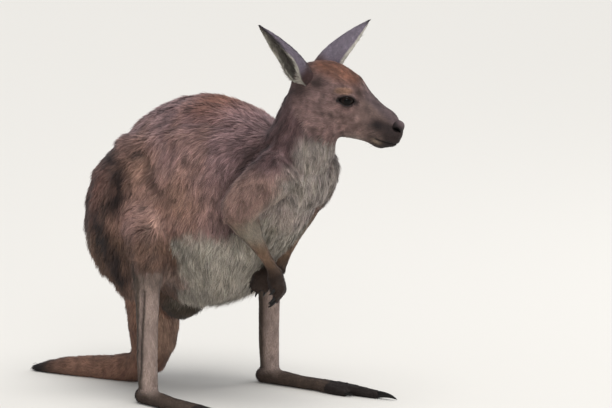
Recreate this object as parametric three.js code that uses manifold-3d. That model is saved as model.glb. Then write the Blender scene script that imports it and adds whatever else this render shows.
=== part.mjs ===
// A kangaroo standing on its hind feet and tail, at its real size in millimetres. While it is built, +X is
// the way the body faces, +Y its left and +Z up, with Y = 0 its middle plane and Z = 0 the ground.
import * as THREE from "three";
import { mergeVertices } from "three/addons/utils/BufferGeometryUtils.js";
import Module from "manifold-3d";

const wasm = await Module();
wasm.setup();

// Driving dimensions.
const GAP = 0.4; // between parts that meet
const STANCE = 146; // from the middle plane to each heel
const LEFT_FOOT_LEAD = 34; // how far the left leg stands ahead of the right one
const TOE_OUT = THREE.MathUtils.degToRad(6); // each foot's turn away from straight ahead
const HEAD_TURN = THREE.MathUtils.degToRad(30); // head yaw, to the animal's left
const HEAD_DROP = THREE.MathUtils.degToRad(23); // slope of the head down towards the nose
const EYE = { along: 86, out: 34.5, up: -2, radius: 14.5 };
const EAR = { length: 128, half: 27, wall: 3.4, steps: 7, turns: 5 };
const MOUTH = { back: 146, level: -48, rise: THREE.MathUtils.degToRad(12) };
const THIGH_INSET = 72; // from the middle plane to where the thighs are parted off
const ANKLE_LEVEL = 32; // where the shank meets the foot
const TOE_LINE = 140; // from the heel to where the toes are parted off
const DOME_STEPS = [0.45, 0.82]; // heights of the rings that round off a limb's end
const FAR = 2000; // size of a cutting block, larger than the animal

const COLOUR = {
  back: 0x6b564c,
  haunch: 0x5f4c43,
  belly: 0x9b948a,
  face: 0x6a564b,
  ear: 0x6d6065,
  shank: 0x8f8274,
  dark: 0x3a2d27,
  tail: 0x4e4039,
  horn: 0x171412,
  nose: 0x1d191a,
  eye: 0x120c0a,
};

const vec = (x, y, z) => new THREE.Vector3(x, y, z);

// --- Shape helpers -----------------------------------------------------------------------------

// Catmull-Rom value of a list of numbers at a position between 0 and 1.
function smoothAt(values, t) {
  const last = values.length - 1;
  const s = Math.min(Math.max(t, 0), 1) * last;
  const i = Math.min(Math.floor(s), last - 1);
  const u = s - i;
  const at = (k) => values[Math.min(Math.max(k, 0), last)];
  const [a, b, c, d] = [at(i - 1), at(i), at(i + 1), at(i + 2)];
  return 0.5 * (2 * b + (c - a) * u + (2 * a - 5 * b + 4 * c - d) * u * u + (3 * b - a - 3 * c + d) * u ** 3);
}

// A closed limb through stations { at, wide, high, low }: wide is the half-width along side, high and low
// the half-depths towards and away from path direction x side. Given ahead, every slice faces that way.
function limb(stations, options = {}) {
  const { side = vec(0, 1, 0), ahead = null, sides = 16, rings = 12, caps = [0.6, 0.6], grow = 0 } = options;
  const path = ["x", "y", "z"].map((k) => stations.map((s) => s.at[k]));
  const point = (t) => vec(...path.map((p) => smoothAt(p, t)));
  const size = (key, t) => smoothAt(stations.map((s) => s[key] ?? s.high), t) + grow;
  const frames = [];
  for (let i = 0; i <= rings; i++) {
    const t = i / rings;
    const along = ahead ?? point(Math.min(t + 0.02, 1)).sub(point(Math.max(t - 0.02, 0))).normalize();
    const up = along.clone().cross(side).normalize();
    const across = up.clone().cross(along).normalize();
    const [wide, high, low] = ["wide", "high", "low"].map((key) => size(key, t));
    frames.push({ centre: point(t), along, up, across, wide, high, low });
  }
  const domed = [...dome(frames[0], -caps[0]).reverse(), ...frames, ...dome(frames[rings], caps[1])];
  return ringSolid(
    domed.map((f) => oval(f, sides)),
    domeTip(frames[0], -caps[0]),
    domeTip(frames[rings], caps[1]),
  );
}

const domeReach = (frame) => Math.min(frame.wide, (frame.high + frame.low) / 2);
const domeTip = (frame, cap) => frame.centre.clone().addScaledVector(frame.along, cap * domeReach(frame));

function dome(frame, cap) {
  if (cap === 0) return [];
  return DOME_STEPS.map((step) => {
    const shrink = Math.sqrt(1 - step * step);
    const centre = frame.centre.clone().addScaledVector(frame.along, step * cap * domeReach(frame));
    const [wide, high, low] = [frame.wide, frame.high, frame.low].map((size) => size * shrink);
    return { ...frame, centre, wide, high, low };
  });
}

function oval({ centre, up, across, wide, high, low }, sides) {
  const points = [];
  for (let j = 0; j < sides; j++) {
    const angle = (2 * Math.PI * j) / sides;
    const rise = Math.sin(angle) * (Math.sin(angle) > 0 ? high : low);
    points.push(centre.clone().addScaledVector(across, Math.cos(angle) * wide).addScaledVector(up, rise));
  }
  return points;
}

// A closed skin over rings of points, with a point at each end, facing out.
function ringSolid(rings, start, finish) {
  const n = rings[0].length;
  const points = [start, ...rings.flat(), finish];
  const last = points.length - 1;
  const at = (i, j) => 1 + i * n + (j % n);
  const faces = [];
  for (let j = 0; j < n; j++) {
    faces.push([0, at(0, j + 1), at(0, j)]);
    for (let i = 0; i + 1 < rings.length; i++) {
      faces.push([at(i, j), at(i, j + 1), at(i + 1, j + 1)]);
      faces.push([at(i, j), at(i + 1, j + 1), at(i + 1, j)]);
    }
    faces.push([at(rings.length - 1, j), at(rings.length - 1, j + 1), last]);
  }
  const geometry = new THREE.BufferGeometry().setFromPoints(points);
  const made = solid(geometry.setIndex(faces.flat()));
  return made.volume() > 0 ? made : solid(geometry.setIndex(faces.flatMap(([a, b, c]) => [b, a, c])));
}

function solid(geometry) {
  const bare = geometry.clone();
  bare.deleteAttribute("normal");
  bare.deleteAttribute("uv");
  const merged = mergeVertices(bare, 1e-4);
  const vertProperties = new Float32Array(merged.attributes.position.array);
  const triVerts = new Uint32Array(merged.index.array);
  return new wasm.Manifold(new wasm.Mesh({ numProp: 3, vertProperties, triVerts }));
}

function ball(centre, radius, options = {}) {
  const { stretch = vec(1, 1, 1), turn = new THREE.Quaternion(), around = 16, down = 10 } = options;
  const geometry = new THREE.SphereGeometry(radius, around, down).scale(stretch.x, stretch.y, stretch.z);
  return solid(geometry.applyQuaternion(turn).translate(centre.x, centre.y, centre.z));
}

// Everything beyond a plane through point, offset along its normal.
function beyond(point, normal, offset = 0) {
  const geometry = new THREE.BoxGeometry(FAR, FAR, FAR).translate(0, 0, FAR / 2 + offset);
  const turn = new THREE.Quaternion().setFromUnitVectors(vec(0, 0, 1), normal.clone().normalize());
  geometry.applyQuaternion(turn);
  return solid(geometry.translate(point.x, point.y, point.z));
}

// Parts a solid by planes { point, normal } into the pieces between them, GAP apart.
function parted(body, planes) {
  const pieces = [];
  let rest = body;
  for (const { point, normal } of planes) {
    pieces.push(rest.intersect(beyond(point, normal.clone().negate(), GAP / 2)));
    rest = rest.intersect(beyond(point, normal, GAP / 2));
  }
  return [...pieces, rest];
}

const joined = (...solids) => solids.reduce((a, b) => a.add(b));
const cut = (body, ...tools) => tools.reduce((a, b) => a.subtract(b), body);
const aboveFloor = (body) => body.intersect(beyond(vec(0, 0, 0), vec(0, 0, 1)));
const between = (a, b, s) => a.clone().lerp(b, s);

const model = new THREE.Group();

function show(name, body, colour, roughness = 0.9) {
  const mesh = body.getMesh();
  const geometry = new THREE.BufferGeometry();
  geometry.setAttribute("position", new THREE.BufferAttribute(new Float32Array(mesh.vertProperties), 3));
  geometry.setIndex(new THREE.BufferAttribute(new Uint32Array(mesh.triVerts), 1));
  geometry.computeVertexNormals();
  const material = new THREE.MeshStandardMaterial({ color: colour, roughness, metalness: 0 });
  const piece = new THREE.Mesh(geometry, material);
  piece.name = name;
  model.add(piece);
}

// --- Trunk ---------------------------------------------------------------------------------------

// Upright slices of the trunk from rump to chest: back, belly, half-width and the level it is widest at.
const trunkSlices = [
  { x: -186, back: 436, belly: 300, half: 56, widest: 366 },
  { x: -146, back: 496, belly: 236, half: 96, widest: 350 },
  { x: -92, back: 533, belly: 198, half: 116, widest: 340 },
  { x: -35, back: 554, belly: 180, half: 124, widest: 335 },
  { x: 25, back: 563, belly: 176, half: 126, widest: 335 },
  { x: 80, back: 558, belly: 190, half: 121, widest: 346 },
  { x: 130, back: 543, belly: 220, half: 110, widest: 366 },
  { x: 180, back: 517, belly: 270, half: 94, widest: 400 },
  { x: 226, back: 494, belly: 326, half: 76, widest: 420 },
  { x: 262, back: 486, belly: 374, half: 54, widest: 432 },
];
const GROIN = { centre: vec(-56, 4, 176), radius: 50, stretch: vec(1, 0.95, 0.92) };

function trunkShape(grow = 0) {
  const stations = trunkSlices.map((s) => ({
    at: vec(s.x, 0, s.widest),
    wide: s.half,
    high: s.back - s.widest,
    low: s.widest - s.belly,
  }));
  const barrel = limb(stations, { ahead: vec(1, 0, 0), sides: 16, rings: 12, caps: [0.5, 0.55], grow });
  const groin = ball(GROIN.centre, GROIN.radius + grow, { stretch: GROIN.stretch, around: 10, down: 6 });
  return joined(barrel, groin);
}

function neckShape(grow = 0) {
  return limb(
    [
      { at: vec(206, 0, 430), wide: 78, high: 78, low: 78 },
      { at: vec(228, 3, 480), wide: 66, high: 66, low: 82 },
      { at: vec(249, 9, 530), wide: 53, high: 58, low: 73 },
      { at: vec(259, 17, 574), wide: 46, high: 52, low: 58 },
      { at: vec(264, 24, 608), wide: 38, high: 40, low: 40 },
    ],
    { ahead: vec(0, 0, 1), sides: 12, rings: 4, caps: [0, 0], grow },
  );
}

// --- Legs ----------------------------------------------------------------------------------------

const legPoint = (flip, shift) => (x, y, z) => vec(x + shift, y * flip, z);

function thighShape(flip, shift, grow = 0) {
  const at = legPoint(flip, shift * 0.4);
  const knee = legPoint(flip, shift);
  const haunch = limb(
    [
      { at: at(-82, 74, 462), wide: 36, high: 50, low: 58 },
      { at: at(-86, 88, 405), wide: 54, high: 88, low: 102 },
      { at: at(-88, 98, 345), wide: 60, high: 110, low: 102 },
      { at: at(-82, 107, 290), wide: 59, high: 112, low: 98 },
      { at: at(-64, 119, 246), wide: 50, high: 88, low: 80 },
      { at: at(-36, 132, 214), wide: 34, high: 50, low: 48 },
    ],
    { ahead: vec(0, 0, -1), sides: 12, rings: 6, caps: [0.7, 0.6], grow },
  );
  const front = limb(
    [
      { at: knee(-40, 108, 335), wide: 48, high: 56, low: 56 },
      { at: knee(-8, 130, 300), wide: 42, high: 46, low: 50 },
      { at: knee(10, 145, 270), wide: 32, high: 36, low: 40 },
    ],
    { sides: 10, rings: 4, caps: [0.5, 0.9], grow },
  );
  return joined(haunch, front);
}

function shankShape(flip, shift, grow = 0) {
  const at = legPoint(flip, shift);
  return limb(
    [
      { at: at(3, 145, 262), wide: 26, high: 34, low: 36 },
      { at: at(2, 146, 225), wide: 21.5, high: 27, low: 28 },
      { at: at(1, 146, 180), wide: 18.5, high: 23, low: 24 },
      { at: at(1, 146, 120), wide: 17, high: 20.5, low: 21.5 },
      { at: at(0, 146, 70), wide: 17, high: 21, low: 22 },
      { at: at(0, 146, 16), wide: 17.5, high: 22, low: 16 },
    ],
    { ahead: vec(0, 0, -1), sides: 10, rings: 4, caps: [0, 0], grow },
  );
}

// The shank fitted to the thigh above it and parted from the foot at the ankle.
function buildShank(name, flip, shift) {
  const shank = cut(shankShape(flip, shift), thighShape(flip, shift, GAP), trunkShape(GAP));
  show(`shank_${name}`, shank.intersect(beyond(vec(0, 0, ANKLE_LEVEL), vec(0, 0, 1))), COLOUR.shank);
}

// Foot pieces are laid out from the heel: [along, out, height, half-width, half-depth] each.
const soleStations = [
  [-15, 0, 14, 14.5, 15],
  [6, 0, 15, 16, 16],
  [46, 0, 11.5, 16, 12.5],
  [100, 0, 11, 16, 12],
  [150, 0, 10.5, 18, 11.5],
  [180, 0, 9.5, 18, 10.5],
];
const toes = {
  long: {
    stations: [[160, 0, 10, 12, 11], [214, 1, 9, 10.5, 10], [250, 2, 7.5, 8, 8.2]],
    claws: [{ from: [250, 2, 7.8], to: [290, 4, 2.5], root: 6.8 }],
  },
  outer: {
    stations: [[146, 13, 10, 8, 10.5], [182, 18, 8, 7.5, 9], [208, 20, 6.5, 6, 7]],
    claws: [{ from: [208, 20, 6.8], to: [234, 21, 2.5], root: 5 }],
  },
  inner: {
    stations: [[128, -12, 9, 6.5, 9.5], [164, -17, 7.5, 7, 8.5], [190, -18, 5.5, 6, 6]],
    claws: [
      { from: [190, -15.2, 5.6], to: [206, -14.8, 2.2], root: 2.6 },
      { from: [190, -20.8, 5.6], to: [205, -21, 2.2], root: 2.6 },
    ],
  },
};

function buildFoot(name, flip, shift) {
  const way = vec(Math.cos(TOE_OUT), flip * Math.sin(TOE_OUT), 0);
  const across = vec(-way.y, way.x, 0).multiplyScalar(flip);
  const heel = vec(shift, flip * STANCE, 0);
  const at = ([along, out, z]) =>
    heel.clone().addScaledVector(way, along).addScaledVector(across, out).setZ(z);
  const bone = (list, options) =>
    limb(list.map(([along, out, z, wide, high]) => ({ at: at([along, out, z]), wide, high })), {
      side: across,
      ...options,
    });
  const sole = bone(soleStations, { sides: 8, rings: 4, caps: [0.9, 0.5] });
  const digits = Object.values(toes).map((toe) => bone(toe.stations, { sides: 6, rings: 2, caps: [0, 0] }));
  const ankle = shankShape(flip, shift).intersect(beyond(vec(0, 0, ANKLE_LEVEL), vec(0, 0, -1), GAP));
  const whole = aboveFloor(joined(ankle, sole, ...digits));
  const [foot, front] = parted(whole, [{ point: at([TOE_LINE, 0, 0]), normal: way }]);
  show(`foot_${name}`, foot, COLOUR.dark);
  show(`toes_${name}`, front, COLOUR.dark);
  for (const [toe, { claws }] of Object.entries(toes))
    claws.forEach(({ from, to, root }, i) => {
      const horn = claw(at(from), at(to), root, vec(0, 0, 1));
      const number = claws.length > 1 ? `_${i + 1}` : "";
      show(`claw_${toe}${number}_${name}`, aboveFloor(horn), COLOUR.horn, 0.45);
    });
}

// A claw with a flat root, GAP beyond the toe or finger's flat end, arched towards lift.
function claw(from, to, root, lift) {
  const steps = [[0, 1], [0.55, 0.7]];
  const way = to.clone().sub(from).normalize();
  const across = way.clone().cross(lift).normalize();
  const up = across.clone().cross(way);
  const start = from.clone().addScaledVector(way, GAP + root * Math.abs(way.dot(lift)) * 0.6);
  const rings = steps.map(([t, size]) => {
    const centre = between(start, to, t).addScaledVector(up, Math.sin(Math.PI * t) * root * 0.45);
    return oval({ centre, up, across, wide: root * size * 0.8, high: root * size, low: root * size }, 5);
  });
  return ringSolid(rings, start, to);
}

// --- Tail ----------------------------------------------------------------------------------------

const tailStations = [
  { at: vec(-80, 0, 342), wide: 68, high: 80 },
  { at: vec(-106, 0, 272), wide: 66, high: 70 },
  { at: vec(-121, 0, 210), wide: 60, high: 60 },
  { at: vec(-126, 0, 152), wide: 53, high: 53 },
  { at: vec(-126, 0, 104), wide: 46, high: 48 },
  { at: vec(-130, -1, 64), wide: 39, high: 41 },
  { at: vec(-151, -5, 34), wide: 30, high: 31 },
  { at: vec(-194, -16, 23), wide: 25, high: 25 },
  { at: vec(-246, -31, 20), wide: 22, high: 21.5 },
  { at: vec(-296, -46, 16.5), wide: 18.5, high: 18 },
  { at: vec(-336, -58, 12), wide: 13.5, high: 13.5 },
  { at: vec(-366, -67, 6.5), wide: 7, high: 7.5 },
];
const TAIL_ROOT = { point: vec(-68, 0, 150), normal: vec(-0.69, 0, -0.72) };
const TAIL_CUTS = [
  { point: vec(-125, 0, 120), normal: vec(0, 0, -1) },
  { point: vec(-138, -2, 50), normal: vec(-0.6, -0.1, -0.8) },
  { point: vec(-222, -24, 20), normal: vec(-0.96, -0.27, 0) },
  { point: vec(-310, -50, 15), normal: vec(-0.96, -0.28, 0) },
];
const TAIL_NAMES = ["tail_root", "tail_upper", "tail_bend", "tail_lower", "tail_tip"];

const tailShape = () => aboveFloor(limb(tailStations, { sides: 12, rings: 12, caps: [0, 1.4] }));

// --- Arms ----------------------------------------------------------------------------------------

// The hands hang crossed in front of the belly, the right one in front.
const arms = {
  right: {
    shoulder: vec(250, -54, 452),
    elbow: vec(194, -112, 378),
    wrist: vec(216, -38, 258),
    knuckles: vec(234, -47, 227),
    across: vec(0.6, -0.6, 0.2),
    back: vec(0.7, -0.6, 0.3),
    flip: -1,
  },
  left: {
    shoulder: vec(246, 50, 452),
    elbow: vec(182, 92, 376),
    wrist: vec(192, 4, 256),
    knuckles: vec(170, -23, 233),
    across: vec(0.5, -0.2, -0.75),
    back: vec(0.6, -0.7, 0.3),
    flip: 1,
  },
};

// Fingers from the palm: [sideways, start along the palm, length, droop] each.
const fingers = [
  [-0.8, 0.86, 17, 1.15],
  [-0.4, 1, 20, 1.2],
  [0, 1.04, 21, 1.2],
  [0.4, 1, 20, 1.2],
  [0.82, 0.8, 16, 1.1],
];

function armShape({ shoulder, elbow, wrist, flip }) {
  const upper = limb(
    [
      { at: shoulder, wide: 34, high: 44 },
      { at: between(shoulder, elbow, 0.5).add(vec(0, flip * 8, 0)), wide: 33, high: 42 },
      { at: elbow, wide: 28, high: 34 },
    ],
    { sides: 10, rings: 3, caps: [0.6, 0.8] },
  );
  const fore = limb(
    [
      { at: elbow, wide: 28, high: 34 },
      { at: between(elbow, wrist, 0.25), wide: 23, high: 27 },
      { at: between(elbow, wrist, 0.5), wide: 14.5, high: 17 },
      { at: between(elbow, wrist, 0.75), wide: 9.5, high: 10.5 },
      { at: wrist, wide: 9.5, high: 11 },
    ],
    { side: vec(1, 0, 0), sides: 8, rings: 4, caps: [0, 0] },
  );
  return joined(upper, fore);
}

function handShape({ wrist, knuckles, across, back }) {
  const way = knuckles.clone().sub(wrist).normalize();
  const side = across.clone().addScaledVector(way, -across.dot(way)).normalize();
  const out = way.clone().cross(side);
  const top = out.dot(back) > 0 ? out : out.clone().negate();
  const length = wrist.distanceTo(knuckles);
  const palm = limb(
    [
      { at: wrist.clone().addScaledVector(way, -6), wide: 10.5, high: 11.5 },
      { at: between(wrist, knuckles, 0.45), wide: 19.5, high: 16 },
      { at: knuckles, wide: 22, high: 15.5 },
    ],
    { side, sides: 8, rings: 3, caps: [0, 0.7] },
  );
  const bones = fingers.map(([spread, start, reach, droop]) => {
    const root = wrist.clone().addScaledVector(way, length * start - 4).addScaledVector(side, spread * 17);
    const heading = way.clone().addScaledVector(side, spread * 0.3).normalize();
    const middle = root.clone().addScaledVector(heading, reach * 0.55).addScaledVector(top, 0.5);
    const bend = -reach * droop * 0.45;
    const tip = middle.clone().addScaledVector(heading, reach * 0.5).addScaledVector(top, bend);
    const bone = limb(
      [
        { at: root, wide: 7, high: 8 },
        { at: middle, wide: 6.8, high: 7.6 },
        { at: tip, wide: 5.2, high: 5.8 },
      ],
      { side, sides: 5, rings: 2, caps: [0, 0] },
    );
    const curl = tip.clone().sub(middle).normalize();
    return { bone, tip, point: tip.clone().addScaledVector(curl, 12).addScaledVector(top, -5) };
  });
  return { hand: joined(palm, ...bones.map((b) => b.bone)), bones, top };
}

// An arm parted at its elbow and wrist, fitted to the torso.
function buildArm(name, torso) {
  const arm = arms[name];
  const { hand, bones, top } = handShape(arm);
  const forearmWay = arm.wrist.clone().sub(arm.elbow).normalize();
  const cuts = [
    { point: arm.elbow.clone().add(vec(0, 0, -4)), normal: vec(-0.1, 0, -1) },
    { point: arm.wrist, normal: forearmWay },
  ];
  const pieces = parted(cut(joined(armShape(arm), hand), torso), cuts);
  ["upper_arm", "forearm", "hand"].forEach((part, i) =>
    show(`${part}_${name}`, pieces[i], part === "hand" ? COLOUR.dark : COLOUR.back),
  );
  bones.forEach(({ tip, point }, i) =>
    show(`claw_finger_${i + 1}_${name}`, claw(tip, point, 3.4, top), COLOUR.horn, 0.45),
  );
}

// --- Head ----------------------------------------------------------------------------------------

const headWay = vec(
  Math.cos(HEAD_TURN) * Math.cos(HEAD_DROP),
  Math.sin(HEAD_TURN) * Math.cos(HEAD_DROP),
  -Math.sin(HEAD_DROP),
);
const headLeft = vec(-Math.sin(HEAD_TURN), Math.cos(HEAD_TURN), 0);
const headUp = headWay.clone().cross(headLeft);
const headTurned = new THREE.Quaternion().setFromRotationMatrix(
  new THREE.Matrix4().makeBasis(headWay, headLeft, headUp),
);
const skull = vec(245, 19, 608);
const onHead = (along, left, up) =>
  skull.clone().addScaledVector(headWay, along).addScaledVector(headLeft, left).addScaledVector(headUp, up);

// Slices of the head from its back to the nose: distance forward, top, underside, half-width, widest level.
const headSlices = [
  { along: -8, top: 26, under: -44, half: 30, widest: -8 },
  { along: 14, top: 41, under: -62, half: 42, widest: -10 },
  { along: 42, top: 48, under: -77, half: 48, widest: -14 },
  { along: 66, top: 46, under: -80, half: 49, widest: -18 },
  { along: 86, top: 41, under: -77, half: 45, widest: -20 },
  { along: 104, top: 31, under: -72, half: 38, widest: -24 },
  { along: 124, top: 21, under: -66, half: 32, widest: -27 },
  { along: 148, top: 12, under: -62, half: 27, widest: -28 },
  { along: 172, top: 4, under: -61, half: 23.5, widest: -28 },
  { along: 190, top: -5, under: -52, half: 18, widest: -27 },
];
const NOSE = { along: 189, up: -15, radius: 12, stretch: vec(0.85, 1.1, 0.85) };

function headShape(grow = 0) {
  const stations = headSlices.map((s) => ({
    at: onHead(s.along, 0, s.widest),
    wide: s.half,
    high: s.top - s.widest,
    low: s.widest - s.under,
  }));
  return limb(stations, { ahead: headWay, side: headLeft, sides: 16, rings: 11, caps: [0.5, 0.55], grow });
}

// An ear: a leaf along axis, cupped so that it opens towards face. From root to tip, its half-width as a
// share of EAR.half and the half-angle in radians that the cup wraps through.
const earWidth = [0.5, 0.68, 0.88, 1, 1, 0.94, 0.82, 0.64, 0.42, 0.18];
const earWrap = [2.4, 2, 1.65, 1.45, 1.35, 1.3, 1.2, 1.1, 1, 0.9];
const ears = {
  right: { base: onHead(-2, -26, 12), axis: vec(-0.26, -0.68, 0.69), face: vec(0.1, -1.02, -0.53) },
  left: { base: onHead(6, 26, 20), axis: vec(0.325, 0.722, 0.611), face: vec(0.179, 0.698, -0.671) },
};

function earShape({ base, axis, face }) {
  const way = axis.clone().normalize();
  const out = face.clone().addScaledVector(way, -face.dot(way)).normalize();
  const across = way.clone().cross(out);
  const rings = [];
  for (let i = 0; i <= EAR.steps; i++) {
    const t = i / EAR.steps;
    const half = smoothAt(earWidth, t) * EAR.half;
    const wrap = smoothAt(earWrap, t);
    const radius = half / Math.sin(Math.min(wrap, Math.PI / 2));
    const centre = base.clone().addScaledVector(way, t * EAR.length);
    centre.addScaledVector(out, radius - half * 0.5);
    const spot = (angle, r) =>
      centre.clone().addScaledVector(out, -Math.cos(angle) * r).addScaledVector(across, Math.sin(angle) * r);
    const turn = (j) => wrap * ((2 * j) / EAR.turns - 1);
    const ring = [];
    for (let j = 0; j <= EAR.turns; j++) ring.push(spot(turn(j), radius));
    for (let j = EAR.turns; j >= 0; j--) ring.push(spot(turn(j) * 0.95, radius - EAR.wall * (1 - 0.45 * t)));
    rings.push(ring);
  }
  const middle = (ring) => ring.reduce((a, p) => a.add(p), vec(0, 0, 0)).divideScalar(ring.length);
  const tip = middle(rings[EAR.steps]).addScaledVector(way, 5);
  return ringSolid(rings, middle(rings[0]).addScaledVector(way, -1), tip);
}

// The head fitted with sockets for its eyes and nose, and parted along the mouth.
function buildHead(head) {
  const eyeAt = (flip) => onHead(EYE.along, flip * EYE.out, EYE.up);
  const nose = (grow) =>
    ball(onHead(NOSE.along, 0, NOSE.up), NOSE.radius + grow, {
      stretch: NOSE.stretch,
      turn: headTurned,
      around: 10,
      down: 6,
    });
  const sockets = [-1, 1].map((flip) => ball(eyeAt(flip), EYE.radius + GAP, { around: 12, down: 6 }));
  const skinned = cut(head, nose(GAP), ...sockets);
  const hinge = onHead(MOUTH.back, 0, MOUTH.level);
  const lipNormal = headUp.clone().negate().addScaledVector(headWay, -Math.tan(MOUTH.rise)).normalize();
  const jawZone = (offset) => beyond(hinge, lipNormal, offset).intersect(beyond(hinge, headWay, offset));
  show("head", skinned.subtract(jawZone(-GAP / 2)), COLOUR.face);
  show("jaw", skinned.intersect(jawZone(GAP / 2)), COLOUR.face);
  show("nose", nose(0), COLOUR.nose, 0.4);
  for (const [name, flip] of [["right", -1], ["left", 1]]) {
    show(`eye_${name}`, ball(eyeAt(flip), EYE.radius, { around: 12, down: 6 }), COLOUR.eye, 0.1);
    show(`ear_${name}`, cut(earShape(ears[name]), headShape(GAP), neckShape(GAP)), COLOUR.ear);
  }
}

// --- The whole animal ----------------------------------------------------------------------------

const legs = { right: { flip: -1, shift: 0 }, left: { flip: 1, shift: LEFT_FOOT_LEAD } };
const TORSO_CUTS = [
  { point: vec(-62, 0, 0), normal: vec(1, 0, 0) },
  { point: vec(150, 0, 0), normal: vec(1, 0, 0) },
  { point: vec(180, 0, 516), normal: vec(0.52, 0, 0.854) },
  { point: vec(262, 22, 540), normal: vec(0.66, 0.25, 0.7) },
];

// Everything outside a plane beside the body and behind a plane that slopes from the knee to the hip.
function legZone({ flip, shift }, offset) {
  const beside = beyond(vec(0, flip * THIGH_INSET, 0), vec(0, flip, 0), offset);
  return beside.intersect(beyond(vec(64 + shift * 0.8, 0, 262), vec(-0.859, 0, -0.512), offset));
}

function buildBody() {
  const thighs = Object.values(legs).map(({ flip, shift }) => thighShape(flip, shift));
  const body = joined(trunkShape(), neckShape(), headShape(), ...thighs);
  for (const [name, leg] of Object.entries(legs)) {
    show(`thigh_${name}`, body.intersect(legZone(leg, GAP / 2)), COLOUR.haunch);
    buildShank(name, leg.flip, leg.shift);
    buildFoot(name, leg.flip, leg.shift);
  }
  const torso = joined(cut(body, ...Object.values(legs).map((leg) => legZone(leg, -GAP / 2))), tailShape());
  const [upper, tail] = parted(torso, [TAIL_ROOT]);
  parted(tail, TAIL_CUTS).forEach((piece, i) => show(TAIL_NAMES[i], piece, COLOUR.tail));
  const [hips, belly, chest, neck, head] = parted(upper, TORSO_CUTS);
  show("hips", hips, COLOUR.haunch);
  show("belly", belly, COLOUR.belly);
  show("chest", chest, COLOUR.back);
  show("neck", neck, COLOUR.back);
  buildHead(head);
}

buildBody();
const torsoMould = joined(trunkShape(GAP), neckShape(GAP));
for (const name of Object.keys(arms)) buildArm(name, torsoMould);

// The origin ends up on the ground under the middle of the model's box.
const middle = new THREE.Box3().setFromObject(model).getCenter(vec(0, 0, 0));
model.position.set(-middle.x, -middle.y, 0);

export default model;
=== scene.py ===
import itertools
import math
import time

import bmesh
import bpy
import numpy as np
from mathutils import Matrix, Vector
from mathutils.bvhtree import BVHTree
from mathutils.kdtree import KDTree


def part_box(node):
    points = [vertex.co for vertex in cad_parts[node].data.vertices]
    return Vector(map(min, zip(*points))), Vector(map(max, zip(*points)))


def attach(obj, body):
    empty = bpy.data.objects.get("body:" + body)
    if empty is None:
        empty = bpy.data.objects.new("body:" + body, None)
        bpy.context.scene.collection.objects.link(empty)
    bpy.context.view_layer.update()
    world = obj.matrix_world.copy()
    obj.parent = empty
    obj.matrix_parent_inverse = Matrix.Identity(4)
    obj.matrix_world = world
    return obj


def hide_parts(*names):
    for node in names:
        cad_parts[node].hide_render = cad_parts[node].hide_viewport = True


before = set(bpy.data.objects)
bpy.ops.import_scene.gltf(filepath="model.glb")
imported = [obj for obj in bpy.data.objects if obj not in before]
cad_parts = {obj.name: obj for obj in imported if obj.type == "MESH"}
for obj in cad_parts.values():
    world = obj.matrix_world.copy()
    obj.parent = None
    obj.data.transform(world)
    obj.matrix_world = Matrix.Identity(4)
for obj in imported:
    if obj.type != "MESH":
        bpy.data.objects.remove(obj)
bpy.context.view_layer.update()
startTime = time.time()
chance = np.random.default_rng(41)
mm = 0.001  # sizes below are in millimetres


def report(stage):
    print(f"{stage}: {time.time() - startTime:.1f} s")


# Small helpers

def unit(vectors):
    vectors = np.asarray(vectors, float)
    return vectors / np.maximum(np.linalg.norm(vectors, axis=-1, keepdims=True), 1e-12)


def ramp(values, low, high):
    # smooth step from 0 at low to 1 at high
    t = np.clip((values - low) / np.subtract(high, low), 0, 1)
    return t * t * (3 - 2 * t)


def mixed(first, second, share):
    return first + (second - first) * np.asarray(share)[..., None]


def spot(places, centre, reach):
    # soft spot, 1 in the middle and near 0 beyond its reach
    return np.exp(-(((places - np.asarray(centre, float)) / reach) ** 2).sum(1) * 1.5)


def cloud(places, size, seed):
    # smooth noise from -1 to 1 with lumps about as wide as size
    cell = places / size + seed * 7.31
    base = np.floor(cell).astype(np.int64)
    part = cell - base
    part = part * part * (3 - 2 * part)
    total = np.zeros(len(places))
    for corner in itertools.product((0, 1), repeat=3):
        c = base + np.array(corner)
        key = (c[:, 0] * 73856093) ^ (c[:, 1] * 19349663) ^ (c[:, 2] * 83492791) ^ (seed * 2654435761)
        key = ((key & 0xffffffff) * 2246822519) & 0xffffffff
        key = ((key ^ (key >> 15)) * 3266489917) & 0xffffffff
        share = np.prod(np.where(corner, part, 1 - part), axis=1)
        total += share * ((key >> 8) & 0xffff) / 65535
    return total * 2 - 1


def linear(hexColour):
    # sRGB hex to linear colour
    values = [int(hexColour[i:i + 2], 16) / 255 for i in (0, 2, 4)]
    return np.array([v / 12.92 if v <= 0.04045 else ((v + 0.055) / 1.055) ** 2.4 for v in values])


def middle(node):
    low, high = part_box(node)
    return np.array((low + high) / 2) / mm


def vertexArray(mesh):
    points = np.empty(len(mesh.vertices) * 3, np.float32)
    mesh.vertices.foreach_get("co", points)
    return points.reshape(-1, 3).astype(float)


def normalArray(mesh):
    normals = np.empty(len(mesh.vertices) * 3, np.float32)
    mesh.vertex_normals.foreach_get("vector", normals)
    return normals.reshape(-1, 3).astype(float)


def edgeArray(mesh):
    edges = np.empty(len(mesh.edges) * 2, np.int32)
    mesh.edges.foreach_get("vertices", edges)
    return edges.reshape(-1, 2)


def triangleArray(mesh):
    mesh.calc_loop_triangles()
    corners = np.empty(len(mesh.loop_triangles) * 3, np.int32)
    mesh.loop_triangles.foreach_get("vertices", corners)
    return corners.reshape(-1, 3)


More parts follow.
